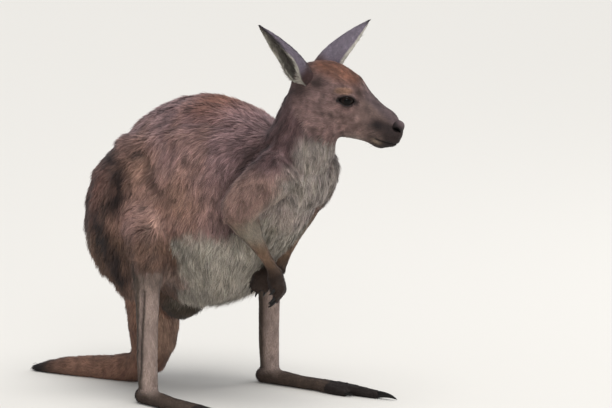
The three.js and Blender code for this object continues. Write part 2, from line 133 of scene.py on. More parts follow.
def spread(values, edges, rounds, weight=0.5):
    # each value moves towards the average of its neighbours
    values = values.reshape(len(values), -1).copy()
    count = np.maximum(np.bincount(edges.ravel(), minlength=len(values)), 1)
    weight = np.broadcast_to(np.asarray(weight, float), len(values))
    for _ in range(rounds):
        for k in range(values.shape[1]):
            total = np.bincount(edges[:, 0], values[edges[:, 1], k], len(values))
            total += np.bincount(edges[:, 1], values[edges[:, 0], k], len(values))
            values[:, k] += weight * (total / count - values[:, k])
    return values


def meshOf(bm, name):
    mesh = bpy.data.meshes.new(name)
    bm.to_mesh(mesh)
    bm.free()
    return mesh


def newPiece(name, mesh):
    piece = bpy.data.objects.new(name, mesh)
    bpy.context.scene.collection.objects.link(piece)
    return piece


def setPoints(mesh, points):
    mesh.vertices.foreach_set("co", np.asarray(points, np.float32).ravel())
    mesh.update()


# Camera, light and floor

stage = {
    "target": (245.88, 0, 381.34),
    "azimuth": 42,
    "elevation": 9,
    "distance": 7000,
    "lens": 228.8,
    "sensor": 36,
    "frame": (612, 408),  # the picture's width and height in points
    "floorRadius": 40,  # in metres
    "world": 0.56,
    "sun": 2.3,
    "sunWidth": 50,
    "sunFrom": (0.3, -0.1, 1),
    "floorHex": "d9d6d1",
}


def cameraAxes():
    # ways to the right, up and back towards the camera
    turn, rise = math.radians(stage["azimuth"]), math.radians(stage["elevation"])
    right = np.array((math.cos(turn), math.sin(turn), 0))
    back = np.array((math.sin(turn) * math.cos(rise), -math.cos(turn) * math.cos(rise), math.sin(rise)))
    return right, np.cross(back, right), back


def buildStage():
    back = Vector(cameraAxes()[2])
    target = Vector(stage["target"]) * mm
    camera = bpy.data.objects.new("camera", bpy.data.cameras.new("camera"))
    bpy.context.scene.collection.objects.link(camera)
    camera.data.lens = stage["lens"]
    camera.data.sensor_width = stage["sensor"]
    camera.data.clip_end = 100
    camera.location = target + back * stage["distance"] * mm
    camera.rotation_euler = back.to_track_quat("Z", "Y").to_euler()
    bpy.context.scene.camera = camera

    bm = bmesh.new()
    bmesh.ops.create_circle(bm, cap_ends=True, segments=64, radius=stage["floorRadius"])
    floor = newPiece("floor", meshOf(bm, "floor"))
    floor.data.materials.append(floorPaint())

    world = bpy.data.worlds.new("studio")
    bpy.context.scene.world = world
    world.use_nodes = True
    background = world.node_tree.nodes["Background"]
    background.inputs["Color"].default_value = (0.94, 0.97, 1, 1)
    background.inputs["Strength"].default_value = stage["world"]
    sun = bpy.data.lights.new("softSun", "SUN")
    sun.energy = stage["sun"]
    sun.angle = math.radians(stage["sunWidth"])
    sun.color = (1, 0.985, 0.96)
    sunHolder = bpy.data.objects.new("softSun", sun)
    bpy.context.scene.collection.objects.link(sunHolder)
    sunHolder.rotation_euler = Vector(stage["sunFrom"]).to_track_quat("Z", "Y").to_euler()
    lamps = [
        ("frontLamp", (2.6, -2.2, 2.2), 0.9, 16, (1, 0.98, 0.95)),
        ("rimLamp", (1.6, 3.0, 1.7), 1.4, 22, (0.97, 0.98, 1)),
    ]
    for name, place, size, power, tint in lamps:
        lamp = bpy.data.lights.new(name, "AREA")
        lamp.size = size
        lamp.energy = power
        lamp.color = tint
        holder = bpy.data.objects.new(name, lamp)
        bpy.context.scene.collection.objects.link(holder)
        holder.location = place
        holder.rotation_euler = (Vector(place) - Vector((0.05, 0, 0.35))).to_track_quat("Z", "Y").to_euler()
    bpy.context.scene.view_settings.view_transform = "Standard"


# Materials

def addNode(tree, kind, settings=None, links=None):
    # a node with its settings and the sockets that feed it
    node = tree.nodes.new(kind)
    for key, value in (settings or {}).items():
        if hasattr(node, key):
            setattr(node, key, value)
        else:
            node.inputs[key].default_value = value
    for key, source in (links or {}).items():
        tree.links.new(source, node.inputs[key])
    return node


def newMaterial(name):
    material = bpy.data.materials.new(name)
    material.use_nodes = True
    tree = material.node_tree
    shader = tree.nodes["Principled BSDF"]
    return material, tree, shader


def colour4(hexColour):
    return (*linear(hexColour), 1)


def grainOf(tree, kind, settings, output):
    # a fine texture fixed to the object
    place = addNode(tree, "ShaderNodeTexCoord")
    return addNode(tree, kind, settings, {"Vector": place.outputs["Object"]}).outputs[output]


def tintByGrain(tree, shader, grain, low, high):
    # the painted colour, between low and high times as bright
    base = addNode(tree, "ShaderNodeVertexColor", {"layer_name": "hair"})
    level = addNode(tree, "ShaderNodeMapRange", {"To Min": low, "To Max": high}, {"Value": grain})
    tint = addNode(
        tree, "ShaderNodeVectorMath", {"operation": "SCALE"},
        {0: base.outputs["Color"], "Scale": level.outputs["Result"]},
    )
    tree.links.new(tint.outputs["Vector"], shader.inputs["Base Color"])


def bumpByGrain(tree, shader, grain, strength, distance):
    bump = addNode(tree, "ShaderNodeBump", {"Strength": strength, "Distance": distance}, {"Height": grain})
    tree.links.new(bump.outputs["Normal"], shader.inputs["Normal"])


def floorPaint():
    # matt painted studio floor
    material, _, shader = newMaterial("mattFloorPaint")
    shader.inputs["Base Color"].default_value = colour4(stage["floorHex"])
    shader.inputs["Roughness"].default_value = 0.9
    return material


# Where the animal's parts are

headTurn, headDrop = math.radians(30), math.radians(23)
headWay = np.array([
    math.cos(headTurn) * math.cos(headDrop),
    math.sin(headTurn) * math.cos(headDrop),
    -math.sin(headDrop),
])
headLeft = np.array([-math.sin(headTurn), math.cos(headTurn), 0])
headUp = np.cross(headWay, headLeft)
headAxes = np.stack([headWay, headLeft, headUp])
eyeMiddle = {side: middle(f"eye_{side}") for side in ("right", "left")}
eyeAlong, eyeLevel = 86, -2  # of the eyes, from the back of the skull and above its axis
skull = (eyeMiddle["right"] + eyeMiddle["left"]) / 2 - headWay * eyeAlong - headUp * eyeLevel


def inHead(places):
    # distance forward, to the left and up, from the back of the skull
    return (places - skull) @ headAxes.T


def onHead(along, left, up):
    return skull + np.array([along, left, up]) @ headAxes


def nodeWay(fromNode, toNode):
    return unit(middle(toNode) - middle(fromNode))


# For each kind of flesh: how deep the skin lies under the tips of the coat, how far its facets are smoothed,
# and its tufts' length, width, rise and spacing.
flesh = {
    "hips": {"depth": 4, "smooth": 0.9, "length": 21, "width": 1.15, "rise": 0.28, "gap": 1.6},
    "belly": {"depth": 4, "smooth": 0.9, "length": 22, "width": 1.15, "rise": 0.28, "gap": 1.6},
    "chest": {"depth": 4, "smooth": 0.8, "length": 20, "width": 1.15, "rise": 0.3, "gap": 1.55},
    "neck": {"depth": 3, "smooth": 0.8, "length": 15, "width": 1, "rise": 0.3, "gap": 1.3},
    "head": {"depth": 1.2, "smooth": 0.4, "length": 7, "width": 0.7, "rise": 0.26, "gap": 1},
    "jaw": {"depth": 1.1, "smooth": 0.25, "length": 6, "width": 0.65, "rise": 0.26, "gap": 0.95},
    "thigh": {"depth": 4, "smooth": 0.9, "length": 20, "width": 1.15, "rise": 0.28, "gap": 1.6},
    "shank": {"depth": 0.9, "smooth": 0.35, "length": 7, "width": 0.75, "rise": 0.16, "gap": 1.1},
    "foot": {"depth": 1, "smooth": 0.2, "length": 6, "width": 0.7, "rise": 0.18, "gap": 1.1},
    "toes": {"depth": 0.8, "smooth": 0.05, "length": 5, "width": 0.65, "rise": 0.18, "gap": 1.05},
    "tail_root": {"depth": 3, "smooth": 0.7, "length": 17, "width": 1.1, "rise": 0.28, "gap": 1.55},
    "tail": {"depth": 1.6, "smooth": 0.35, "length": 12, "width": 0.9, "rise": 0.3, "gap": 1.35},
    "upper_arm": {"depth": 2.8, "smooth": 0.75, "length": 14, "width": 1, "rise": 0.3, "gap": 1.35},
    "forearm": {"depth": 1, "smooth": 0.15, "length": 8, "width": 0.75, "rise": 0.22, "gap": 1.15},
    "hand": {"depth": 0.7, "smooth": 0.05, "length": 5, "width": 0.65, "rise": 0.24, "gap": 1.1},
    "eye": {"depth": 1.2, "smooth": 0.3, "length": 4, "width": 0.6, "rise": 0.22, "gap": 1},
    "nose": {"depth": 1.2, "smooth": 0.3, "length": 3, "width": 0.6, "rise": 0.22, "gap": 1},
}


def kindOf(node):
    for kind in sorted(flesh, key=len, reverse=True):
        if node.startswith(kind):
            return kind
    return None


allNodes = sorted(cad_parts)
clawNodes = [n for n in allNodes if n.startswith("claw")]
earNodes = ["ear_right", "ear_left"]
skinNodes = [n for n in allNodes if n not in clawNodes + earNodes]
skinKinds = np.array([kindOf(n) for n in skinNodes])
lie = {  # which way the coat lies on each part
    "hips": (-0.3, 0, -1),
    "belly": (-0.22, 0, -1),
    "chest": (-0.3, 0, -1),
    "neck": (-0.08, -0.06, -1),
    "tail_root": (-0.25, 0, -0.97),
    "tail_upper": (0, 0, -1),
    "tail_bend": (-0.55, -0.12, -0.75),
    "tail_lower": (-0.96, -0.28, 0),
    "tail_tip": (-0.96, -0.28, 0),
}
for side, flip in (("right", -1), ("left", 1)):
    lie[f"thigh_{side}"] = (-0.16, 0, -1)
    lie[f"shank_{side}"] = (-0.1, 0, -1)
    lie[f"foot_{side}"] = nodeWay(f"foot_{side}", f"toes_{side}")
    lie[f"toes_{side}"] = nodeWay(f"foot_{side}", f"toes_{side}")
    lie[f"upper_arm_{side}"] = nodeWay(f"upper_arm_{side}", f"forearm_{side}") + np.array([-0.1, 0, -0.3])
    lie[f"forearm_{side}"] = nodeWay(f"forearm_{side}", f"hand_{side}")
    lie[f"hand_{side}"] = nodeWay(f"forearm_{side}", f"hand_{side}")
    lie[f"eye_{side}"] = -headWay
for node in ("head", "jaw", "nose"):
    lie[node] = -headWay - 0.35 * headUp


# Skin

skinShape = {
    "overlap": 0.5,
    "voxel": 2.2,
    "rounds": 130,
    "noseFill": 0.85,
    "triangles": 190000,
    "fillKept": 0.75,  # how much of the flesh smoothed into the hollows stays there
}


def fleshMesh():
    # the flesh solids, each grown a little so that they run together
    whole = bmesh.new()
    owners = []
    for node in skinNodes:
        part = bmesh.new()
        part.from_mesh(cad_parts[node].data)
        bmesh.ops.remove_doubles(part, verts=part.verts, dist=0.01 * mm)
        part.normal_update()
        for v in part.verts:
            v.co += v.normal * skinShape["overlap"] * mm
        if node == "nose":
            centre = Matrix.Translation(Vector(-middle(node) * mm))
            bmesh.ops.scale(part, verts=part.verts, vec=(skinShape["noseFill"],) * 3, space=centre)
        mesh = meshOf(part, "part")
        whole.from_mesh(mesh)
        owners += [skinNodes.index(node)] * (len(whole.faces) - len(owners))
        bpy.data.meshes.remove(mesh)
    return meshOf(whole, "flesh"), owners


def remeshed(mesh, voxel):
    holder = newPiece("remesh", mesh)
    change = holder.modifiers.new("remesh", "REMESH")
    change.mode = "VOXEL"
    change.voxel_size = voxel * mm
    graph = bpy.context.evaluated_depsgraph_get()
    result = bpy.data.meshes.new_from_object(holder.evaluated_get(graph))
    bpy.data.objects.remove(holder)
    return result


def tableOf(key, owner):
    values = np.array([flesh[kind][key] for kind in skinKinds], float)
    return values[owner]


def refine(mesh, inside):
    # cuts the faces of a region in four, once
    bm = bmesh.new()
    bm.from_mesh(mesh)
    bm.verts.ensure_lookup_table()
    edges = [e for e in bm.edges if inside[e.verts[0].index] and inside[e.verts[1].index]]
    bmesh.ops.subdivide_edges(bm, edges=edges, cuts=1, use_grid_fill=True)
    bmesh.ops.triangulate(bm, faces=[f for f in bm.faces if len(f.verts) > 4])
    bm.to_mesh(mesh)
    bm.free()
    mesh.update()


def buildSkin():
    solids, owners = fleshMesh()
    mesh = remeshed(solids, skinShape["voxel"])
    points, edges = vertexArray(mesh), edgeArray(mesh)
    tree = BVHTree.FromPolygons([v.co for v in solids.vertices], [p.vertices for p in solids.polygons])
    ownerOf = lambda places: np.array([owners[tree.find_nearest(p)[2]] for p in places])
    owner = ownerOf(points)
    report(f"solids run together in {len(points)} points")
    weight = spread(tableOf("smooth", owner), edges, 25)[:, 0]
    solid = points
    points = spread(points, edges, skinShape["rounds"], weight * 0.5)
    setPoints(mesh, points)
    normals = normalArray(mesh)
    lost = ((solid - points) * normals).sum(1)
    lost = spread(np.where(lost > 0, lost, lost * (1 - skinShape["fillKept"])), edges, 25)[:, 0]
    depth = spread(tableOf("depth", owner), edges, 30)[:, 0] * mm
    resting = (1 - ramp(points[:, 2] / mm, 1, 9)) * ramp(-normals[:, 2], 0.2, 0.8)
    points += normals * (lost - depth * (1 - resting))[:, None]
    for width, deep, _, line in folds.values():
        if deep:
            groove = deep * mm * np.exp(-(nearLine(points / mm, line) / width) ** 2)
            points -= normals * groove[:, None]
    points = spread(points, edges, 6, 0.4 * weight)
    points[:, 2] = np.maximum(points[:, 2], 0.2 * mm)
    setPoints(mesh, points)
    report("skin laid under the coat")
    for reach in headDetail:
        places = vertexArray(mesh) / mm
        refine(mesh, detailZone(places, reach))
    points = vertexArray(mesh)
    setPoints(mesh, sculptHead(points / mm, edgeArray(mesh)) * mm)
    report(f"head modelled, {len(points)} points")
    return mesh, ownerOf


# Folds of the skin and lines of painted shade in them and over the rump and haunch, on the right side and
# mirrored: their width, how deep the fold is, how dark its painted shade is, and the points of the camera's
# frame that each one runs through

foldsAndShade = {
    "behindArm": (13, 5, 1, [
        (270, 140), (262, 147), (250, 158), (240, 168), (230, 181), (221, 192), (217, 203), (220, 215),
        (228, 226), (238, 238), (247, 246),
    ]),
    "flankFold": (10, 3, 0.75, [(146, 147), (150, 160), (156, 172), (158, 190)]),
    "hipFold": (9, 3, 0.75, [(131, 139), (136, 143), (141, 152)]),
    "humpFold": (9, 2.5, 0.7, [(175, 127), (185, 123), (195, 121), (210, 122), (240, 127)]),
    "tendon": (4.5, 3, 0.8, [(143, 290), (142, 310), (141, 330), (140, 350), (139.8, 373)]),
    # rumpPatch, haunchPatch and rumpEdge are painted shade only, with no fold in the skin
    "rumpPatch": (23, 0, 1, [(112, 152), (120, 160), (124, 172), (122, 185), (115, 197)]),
    "haunchPatch": (21, 0, 1, [(100, 210), (98, 222), (104, 236), (112, 250), (116, 262), (122, 275)]),
    "rumpEdge": (13, 0, 0.9, [(90, 195), (88, 208), (88, 222)]),
}


def solidTree():
    points, faces = [], []
    for node in allNodes:
        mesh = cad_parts[node].data
        first = len(points)
        points += [v.co for v in mesh.vertices]
        faces += [[first + k for k in p.vertices] for p in mesh.polygons]
    return BVHTree.FromPolygons(points, faces)


def castLine(tree, marks):
    # where the camera sees the solids at each point of its frame, to the nearest millimetre
    right, up, back = cameraAxes()
    wide, high = stage["frame"]
    focal = stage["lens"] / stage["sensor"] * wide
    eye = Vector((np.array(stage["target"]) + back * stage["distance"]) * mm)
    line = []
    for u, v in marks:
        way = right * (u - wide / 2) / focal + up * (high / 2 - v) / focal - back
        line.append(tuple(round(c / mm) for c in tree.ray_cast(eye, Vector(way).normalized())[0]))
    return line


solids = solidTree()
folds = {name: (*sizes, castLine(solids, marks)) for name, (*sizes, marks) in foldsAndShade.items()}


def nearLine(places, line):
    # distance from a bent line or its mirror image
    mirrored = places * (1, -1, 1)
    mirrored[places[:, 1] < 0] = places[places[:, 1] < 0]
    best = np.full(len(places), 1e9)
    for start, end in zip(line, line[1:]):
        start, end = np.array(start, float), np.array(end, float)
        step = end - start
        share = np.clip((mirrored - start) @ step / (step @ step), 0, 1)
        best = np.minimum(best, np.linalg.norm(mirrored - start - share[:, None] * step, axis=1))
    return best


# Head

eyeShape = {
    "radius": 14.6,
    "forward": 0.36,  # how far it looks ahead, beside straight out
    "upward": 0.14,
    "tilt": 17,  # of the opening, its front corner up from the head's own axis
    "halfLong": 1.08,  # half the opening's length and heights, beside the radius
    "upper": 0.52,
    "lower": 0.46,
    "lid": 1.2,
    "sunk": 2,
}
mouthShape = {"back": 158, "backLevel": -46, "front": 203, "frontLevel": -40, "groove": 2}
headDetail = (19, 17)  # the faces close to the eyes are cut smaller twice, with those of the nose and mouth


def eyeAxes(side):
    flip = -1 if side == "right" else 1
    out = unit(headLeft * flip + headWay * eyeShape["forward"] + headUp * eyeShape["upward"])
    ahead = unit(headWay - out * (headWay @ out))
    above = unit(headUp - out * (headUp @ out) - ahead * (headUp @ ahead))
    tilt = math.radians(eyeShape["tilt"])
    long = ahead * math.cos(tilt) + above * math.sin(tilt)
    high = above * math.cos(tilt) - ahead * math.sin(tilt)
    centre = eyeMiddle[side] - out * eyeShape["sunk"]
    return centre, out, long, high


def eyeReach(places, side):
    # 1 on the rim of the eye's opening, less inside it, more outside
    centre, out, long, high = eyeAxes(side)
    fromCentre = places - centre
    way = unit(fromCentre)
    a, b, front = way @ long, way @ high, way @ out
    half = np.where(b > 0, eyeShape["upper"], eyeShape["lower"])
    reach = (a / eyeShape["halfLong"]) ** 2 + np.abs(b) / half + 9 * np.maximum(0.36 - front, 0)
    return np.where(front > 0.05, reach, 9), np.linalg.norm(fromCentre, axis=1), way, a, b


def mouthLine(h):
    # level of the line between the lips, at a distance forward
    share = (h[:, 0] - mouthShape["back"]) / (mouthShape["front"] - mouthShape["back"])
    level = mouthShape["backLevel"] + share * (mouthShape["frontLevel"] - mouthShape["backLevel"])
    return level - 1.5 * np.sin(np.clip(share, 0, 1) * math.pi)


def detailZone(places, reach):
    h = inHead(places)
    eyes = np.minimum(
        np.linalg.norm(places - eyeMiddle["right"], axis=1),
        np.linalg.norm(places - eyeMiddle["left"], axis=1),
    )
    mouth = (h[:, 0] > 150) & (np.abs(h[:, 2] - mouthLine(h)) < 4)
    return (eyes < reach) | mouth | ((h[:, 0] > 170) & (h[:, 2] > -34))


nosePad = {
    "centre": np.array((184.5, 0, -14.5)),
    "half": np.array((13, 18.5, 13)),
    "nostril": (188, 14, -18.5),
    "opening": (9.5, 5.2),
    "depth": 6,
}


def padReach(h):
    # 1 on the nose pad's surface, less inside it
    return np.linalg.norm((h - nosePad["centre"]) / nosePad["half"], axis=1)


def sculptHead(places, edges):
    near = inHead(places)[:, 0] > 0
    near &= places[:, 2] > 470
    places = spread(places, edges, 2, near * 0.5)
    h = inHead(places)
    for side, flip in (("right", -1), ("left", 1)):
        # cheekbone, hollow before the eye, brow and the ridge from it to the nose
        sideWay = headLeft * flip
        bumps = [
            ((70, 44, -34), (30, 14, 14), 1.8, sideWay),
            ((114, 29, -14), (16, 14, 11), -2, sideWay),
            ((82, 36, 17), (19, 13, 8), 3.2, sideWay * 0.8 + headUp * 0.7),
            ((104, 24, 26), (14, 14, 10), 2.4, headUp),
            ((60, 40, 6), (12, 12, 12), 0.8, sideWay),
            ((180, 17, -30), (13, 10, 8), 2, sideWay),
            ((160, 22, -17), (13, 10, 7), -1.6, sideWay),
            ((174, 14, -54), (16, 12, 8), 2, sideWay - headUp),
            ((120, 26, -56), (30, 16, 10), -1.2, sideWay),
            ((96, 12, 38), (20, 14, 12), 2, headUp),
            ((168, 8, 2), (20, 12, 12), 3.2, headUp),
            ((166, 8, -62), (16, 16, 10), 2.6, -headUp),
        ]
        for (along, left, up), reach, size, way in bumps:
            share = spot(h, (along, left * flip, up), np.array(reach))
            places = places + share[:, None] * size * unit(way)
        reach, distance, way, _, b = eyeReach(places, side)
        radius = eyeShape["radius"]
        lid = radius + eyeShape["lid"] + 1.1 * ramp(reach, 1, 1.35)
        fold = 0.8 * np.exp(-((reach - 1.62) / 0.12) ** 2) * (b > 0)
        blend = 3
        outside = 0.5 * (distance + lid + np.sqrt((distance - lid) ** 2 + blend ** 2)) - fold
        inside = radius - 2.6
        target = mixed(outside[:, None], np.full((len(places), 1), inside), 1 - ramp(reach, 0.94, 1.03))[:, 0]
        share = (1 - ramp(reach, 3.2, 4.6)) * (distance < 40)
        places = places + way * ((target - distance) * share)[:, None]
    h = inHead(places)
    inPad = padReach(h)
    pressed = mixed(inPad[:, None], np.full((len(h), 1), 0.92), 1 - ramp(inPad, 0.98, 1.06))[:, 0]
    nostril = np.linalg.norm(np.stack([h[:, 0], np.abs(h[:, 1]), h[:, 2]], 1) - nosePad["nostril"], axis=1)
    pressed = pressed * (1 - 0.4 * (1 - ramp(nostril, 7, 13)) * (1 - ramp(inPad, 1, 1.1)))
    h = nosePad["centre"] + (h - nosePad["centre"]) * (pressed / np.maximum(inPad, 0.05))[:, None]
    places = skull + h @ headAxes
    line = mouthLine(h)
    corner = mouthShape["back"]
    lips = np.exp(-((h[:, 2] - line) / 1.3) ** 2) * ramp(h[:, 0], corner - 3, corner + 4)
    away = unit(np.stack([0.3 + 0 * h[:, 0], h[:, 1] / 14, 0 * h[:, 0]], 1)) @ headAxes
    places = places - away * (lips * mouthShape["groove"])[:, None]
    upperLip = np.exp(-((h[:, 2] - line - 4) / 2.6) ** 2) * ramp(h[:, 0], corner, corner + 14)
    return places + away * (upperLip * 0.8)[:, None]


# Ears: each a cupped leaf along its axis that opens towards its face

earShape = {
    "length": 128,
    "halfWidth": 26.3,
    "wall": 1.5,
    "hairDepth": 1.4,  # from the solid's surface to the skin
    "rootShare": -0.14,  # how far the leaf runs on into the head, beside its length
    "widths": (0.74, 0.92, 1.04, 1.08, 1.03, 0.93, 0.8, 0.61, 0.38, 0.12),
    "wraps": (2.4, 2, 1.65, 1.45, 1.35, 1.3, 1.2, 1.1, 1, 0.9),
}
ears = {
    "right": {"base": onHead(-2, -26, 12), "axis": (-0.26, -0.68, 0.69), "face": (-0.15, -0.675, -0.723)},
    "left": {"base": onHead(6, 26, 20), "axis": (0.325, 0.722, 0.611), "face": (0.179, 0.698, -0.671)},
}


def earAxes(side):
    way = unit(ears[side]["axis"])
    face = np.array(ears[side]["face"], float)
    out = unit(face - way * (face @ way))
    return way, out, np.cross(way, out)


def alongEar(values, t):
    return np.interp(np.clip(t, 0, 1), np.linspace(0, 1, len(values)), values)


def earRing(side, t):
    # middle and radius of the cup at a share of the ear's length
    way, out, _ = earAxes(side)
    half = alongEar(earShape["widths"], t) * earShape["halfWidth"]
    wrap = alongEar(earShape["wraps"], t)
    radius = half / np.sin(np.minimum(wrap, math.pi / 2))
    centre = ears[side]["base"] + np.outer(t, way) * earShape["length"]
    return centre + out * (radius - half * 0.5)[:, None], radius, wrap


def buildEar(side):
    bm = bmesh.new()
    bmesh.ops.create_grid(bm, x_segments=30, y_segments=60, size=1)
    flat = np.array([v.co for v in bm.verts])
    t = earShape["rootShare"] + (flat[:, 1] * 0.5 + 0.5) * (1.0 - earShape["rootShare"])
    centre, radius, wrap = earRing(side, t)
    narrow = 1 - ramp(t, 0.93, 1.0) * 0.75
    angle = flat[:, 0] * wrap * narrow
    _, out, across = earAxes(side)
    ripple = 0.35 * np.cos(flat[:, 0] * 9) * ramp(t, 0.05, 0.5)
    reach = radius - earShape["hairDepth"] + ripple
    places = centre - out * (np.cos(angle) * reach)[:, None] + across * (np.sin(angle) * reach)[:, None]
    for v, place in zip(bm.verts, places):
        v.co = place * mm
    bmesh.ops.recalc_face_normals(bm, faces=bm.faces)
    bmesh.ops.solidify(bm, geom=bm.faces[:], thickness=earShape["wall"] * mm)
    bmesh.ops.recalc_face_normals(bm, faces=bm.faces)
    # the faces come in another order each run, so they are put in the order of their points
    bm.verts.index_update()
    ordered = sorted(bm.faces, key=lambda face: sorted(v.index for v in face.verts))
    rank = {face: i for i, face in enumerate(ordered)}
    bm.faces.sort(key=lambda face: rank[face])
    mesh = meshOf(bm, f"ear_{side}_skin")
    return mesh


def inEar(places, side):
    # share along the ear, angle round its cup (0 in the middle of its back), and whether in the cup
    way, out, across = earAxes(side)
    t = ((places - ears[side]["base"]) @ way) / earShape["length"]
    centre, radius, wrap = earRing(side, t)
    sideways = (places - centre) @ across
    back = -((places - centre) @ out)
    cup = np.hypot(sideways, back) < radius - earShape["hairDepth"] + earShape["wall"] / 2
    return t, np.arctan2(sideways, back), cup, wrap


# Colours of the coat, worked out from the place on the body

hues = {
    "back": "8f7374",
    "backRust": "7a4f3b",
    "flank": "a27e6d",
    "flankLow": "644b39",
    "shadedUnderfur": "3c3126",
    "haunch": "62443a",
    "dark": "2a1d1a",
    "belly": "a49c91",
    "bellyDark": "787163",
    "chest": "a29790",
    "neck": "4b3635",
    "shoulder": "8e7268",
    "armInner": "93897b",
    "forearm": "7b614e",
    "hand": "33241b",
    "shank": "af9a91",
    "shankDark": "584a3f",
    "foot": "54453c",
    "toes": "29201d",
    "tail": "8c6857",
    "tailTip": "1d1716",
    "tailUnder": "a98b79",
    "face": "826864",
    "crown": "7c5240",
    "crownDark": "4a352d",
    "brow": "997663",
    "cheek": "8e736d",
    "muzzle": "7c6760",
    "bridge": "5e4e50",
    "muzzleDark": "2c2121",
    "chin": "8d7a6b",
    "lid": "1c1413",
    "earBack": "6f6571",
    "earRim": "c4beb3",
    "earCup": "4f4944",
    "earHair": "a29c91",
    "earTip": "2d2627",
}
hue = {name: linear(value) for name, value in hues.items()}


def markingsAndShade(places, facing, kind):
    # base colour at each place in millimetres, with painted shade in the folds, on the rump and haunch, on
    # the shank and under the belly, from the way its skin faces and the kind of flesh it is on
    n = len(places)
    x, y, z = places.T
    broad, fine = cloud(places, 38, 3), cloud(places, 13, 5)
    colour = np.tile(hue["back"], (n, 1))

    def paint(name, share):
        nonlocal colour
        colour = mixed(colour, hue[name], np.clip(share, 0, 1))

    trunk = np.isin(kind, ("hips", "belly", "chest", "thigh", "tail_root"))
    paint("haunch", 0.9 * ramp(-x, 10, 100) * ramp(500 - z, 0, 70))
    paint("flank", 0.85 * spot(places * (1, 0, 1), (30, 0, 385), np.array([120, 1, 85])))
    paint("flank", 0.9 * spot(places * (1, 0, 1), (-55, 0, 440), np.array([45, 1, 60])))
    paint("flank", 0.35 * ramp(broad, 0.1, 0.7) * trunk)
    paint("flankLow", 0.8 * ramp(350 - z, 0, 50) * trunk)
    paint("backRust", 0.9 * spot(places * (1, 0, 1), (60, 0, 558), np.array([75, 1, 40])))
    paint("neck", 0.8 * spot(places * (1, 0, 1), (185, 0, 480), np.array([55, 1, 55])))
    # painted shade along each fold and over the rump and haunch, broken into patches where it is wide
    for name, (width, _, shade, line) in folds.items():
        patchyShade = ramp(fine, -1.1, 0.2) if width > 10 else 1
        paint("dark", shade * np.exp(-(nearLine(places, line) / width) ** 2) * patchyShade)
    paint("dark", 0.4 * ramp(-fine, 0.3, 0.75) * trunk * ramp(-x, -20, 60))
    neck = kind == "neck"
    paint("neck", neck * (0.75 + 0.25 * fine))
    edge = np.interp(
        x,
        (-200, -80, -33, -3, 14, 25, 47, 107, 157, 192, 230, 255),
        (150, 170, 195, 225, 262, 312, 324, 332, 330, 352, 400, 470),
    ) + broad * 9 + fine * 8
    kneeFront = ramp(x - 14 * ramp(z, 250, 275), 13, 27)
    front = np.isin(kind, ("hips", "belly", "chest")) + (kind == "thigh") * kneeFront
    pale = ramp(edge - z, -13, 14) * front
    throatEdge = np.interp(
        z,
        (345, 359, 372, 387, 400, 425, 445, 465, 504, 520, 545),
        (195, 212, 226, 242, 250, 257, 260, 262, 266, 264, 266),
    ) + 5 * fine + 4 * broad
    throatEdge -= 38 * (kind == "chest") * ramp(455 - z, 0, 30) + 22 * (kind == "upper_arm") * (y > 0)
    throat = ramp(x - throatEdge, -12, 12) * np.isin(kind, ("neck", "chest", "upper_arm"))
    throat *= 1 - 0.9 * ramp(z + 6 * fine, 498, 524)
    pale = pale * (1 - ramp(x, 205, 250))
    upperArm = kind == "upper_arm"
    foreArm = kind == "forearm"
    paint("shoulder", 0.9 * upperArm * ramp(462 + 8 * broad - z, -10, 26))
    paint("neck", 0.75 * upperArm * ramp(z, 440, 478))
    paint("forearm", foreArm)
    paint("shoulder", 0.8 * foreArm * ramp(z, 335, 365))
    paint("belly", pale)
    paint("chest", throat * (1 - pale))
    paint("bellyDark", 0.5 * (pale + throat) * ramp(cloud(places * (1, 1, 0.35), 9, 11), 0, 0.8))
    # painted shade under the belly between the legs, over the short dark underfur there
    low = np.isin(kind, ("hips", "belly")) * ramp(192 + 6 * fine - z, 0, 22) * ramp(18 - x, 0, 28)
    paint("shadedUnderfur", 0.95 * low)
    paleArm = ramp(356 + (x - 200) - z + fine * 8 + broad * 8, -20, 22)
    paleArm = paleArm * np.where(foreArm, ramp(z, 300, 335), 1) * (upperArm | foreArm)
    innerArm = ramp(-facing[:, 1] * np.sign(y), 0.3, 0.8) * upperArm
    paint("armInner", 0.9 * np.maximum(paleArm, innerArm))
    paint("hand", foreArm * ramp(292 - z, 0, 45))
    paint("hand", kind == "hand")
    shank = kind == "shank"
    paint("shank", shank)
    # painted shade on the back of the shank, below the knee and in the groove beside the tendon
    paint("shankDark", shank * ramp(-facing[:, 0], -0.4, 0.25))
    paint("shankDark", 0.5 * shank * ramp(z, 185, 235))
    paint("dark", 0.75 * shank * np.exp(-(nearLine(places, folds["tendon"][3]) / 4.5) ** 2))
    knee = (kind == "thigh") * ramp(275 - z, -5, 45) * ramp(x + 40, 0, 30)
    paint("shank", 0.45 * knee * (1 - ramp(x, 27, 41)))
    foot = kind == "foot"
    heel = np.where(y < 0, middle("shank_right")[0], middle("shank_left")[0])
    paint("foot", foot * 1.0)
    paint("shank", 0.85 * foot * ramp(z + fine * 3, 14, 34) * (1 - ramp(x - heel, 0, 46)))
    paint("toes", (kind == "toes") * ramp(x - heel, 60, 130))
    paint("foot", (kind == "toes") * (1 - ramp(x - heel, 60, 130)))
    tail = np.isin(kind, ("tail_root", "tail"))
    paint("tail", tail * ramp(260 - z, 0, 90))
    paint("tailUnder", 0.7 * tail * ramp(facing[:, 0] - 0.25 * facing[:, 1], 0.35, 0.8) * ramp(z, 40, 80))
    paint("dark", 0.5 * tail * ramp(-facing[:, 0], 0.3, 0.9) * ramp(z, 60, 120))
    paint("tailTip", tail * ramp(-x, 285, 372))
    return paintHead(places, facing, kind, colour, broad, fine)


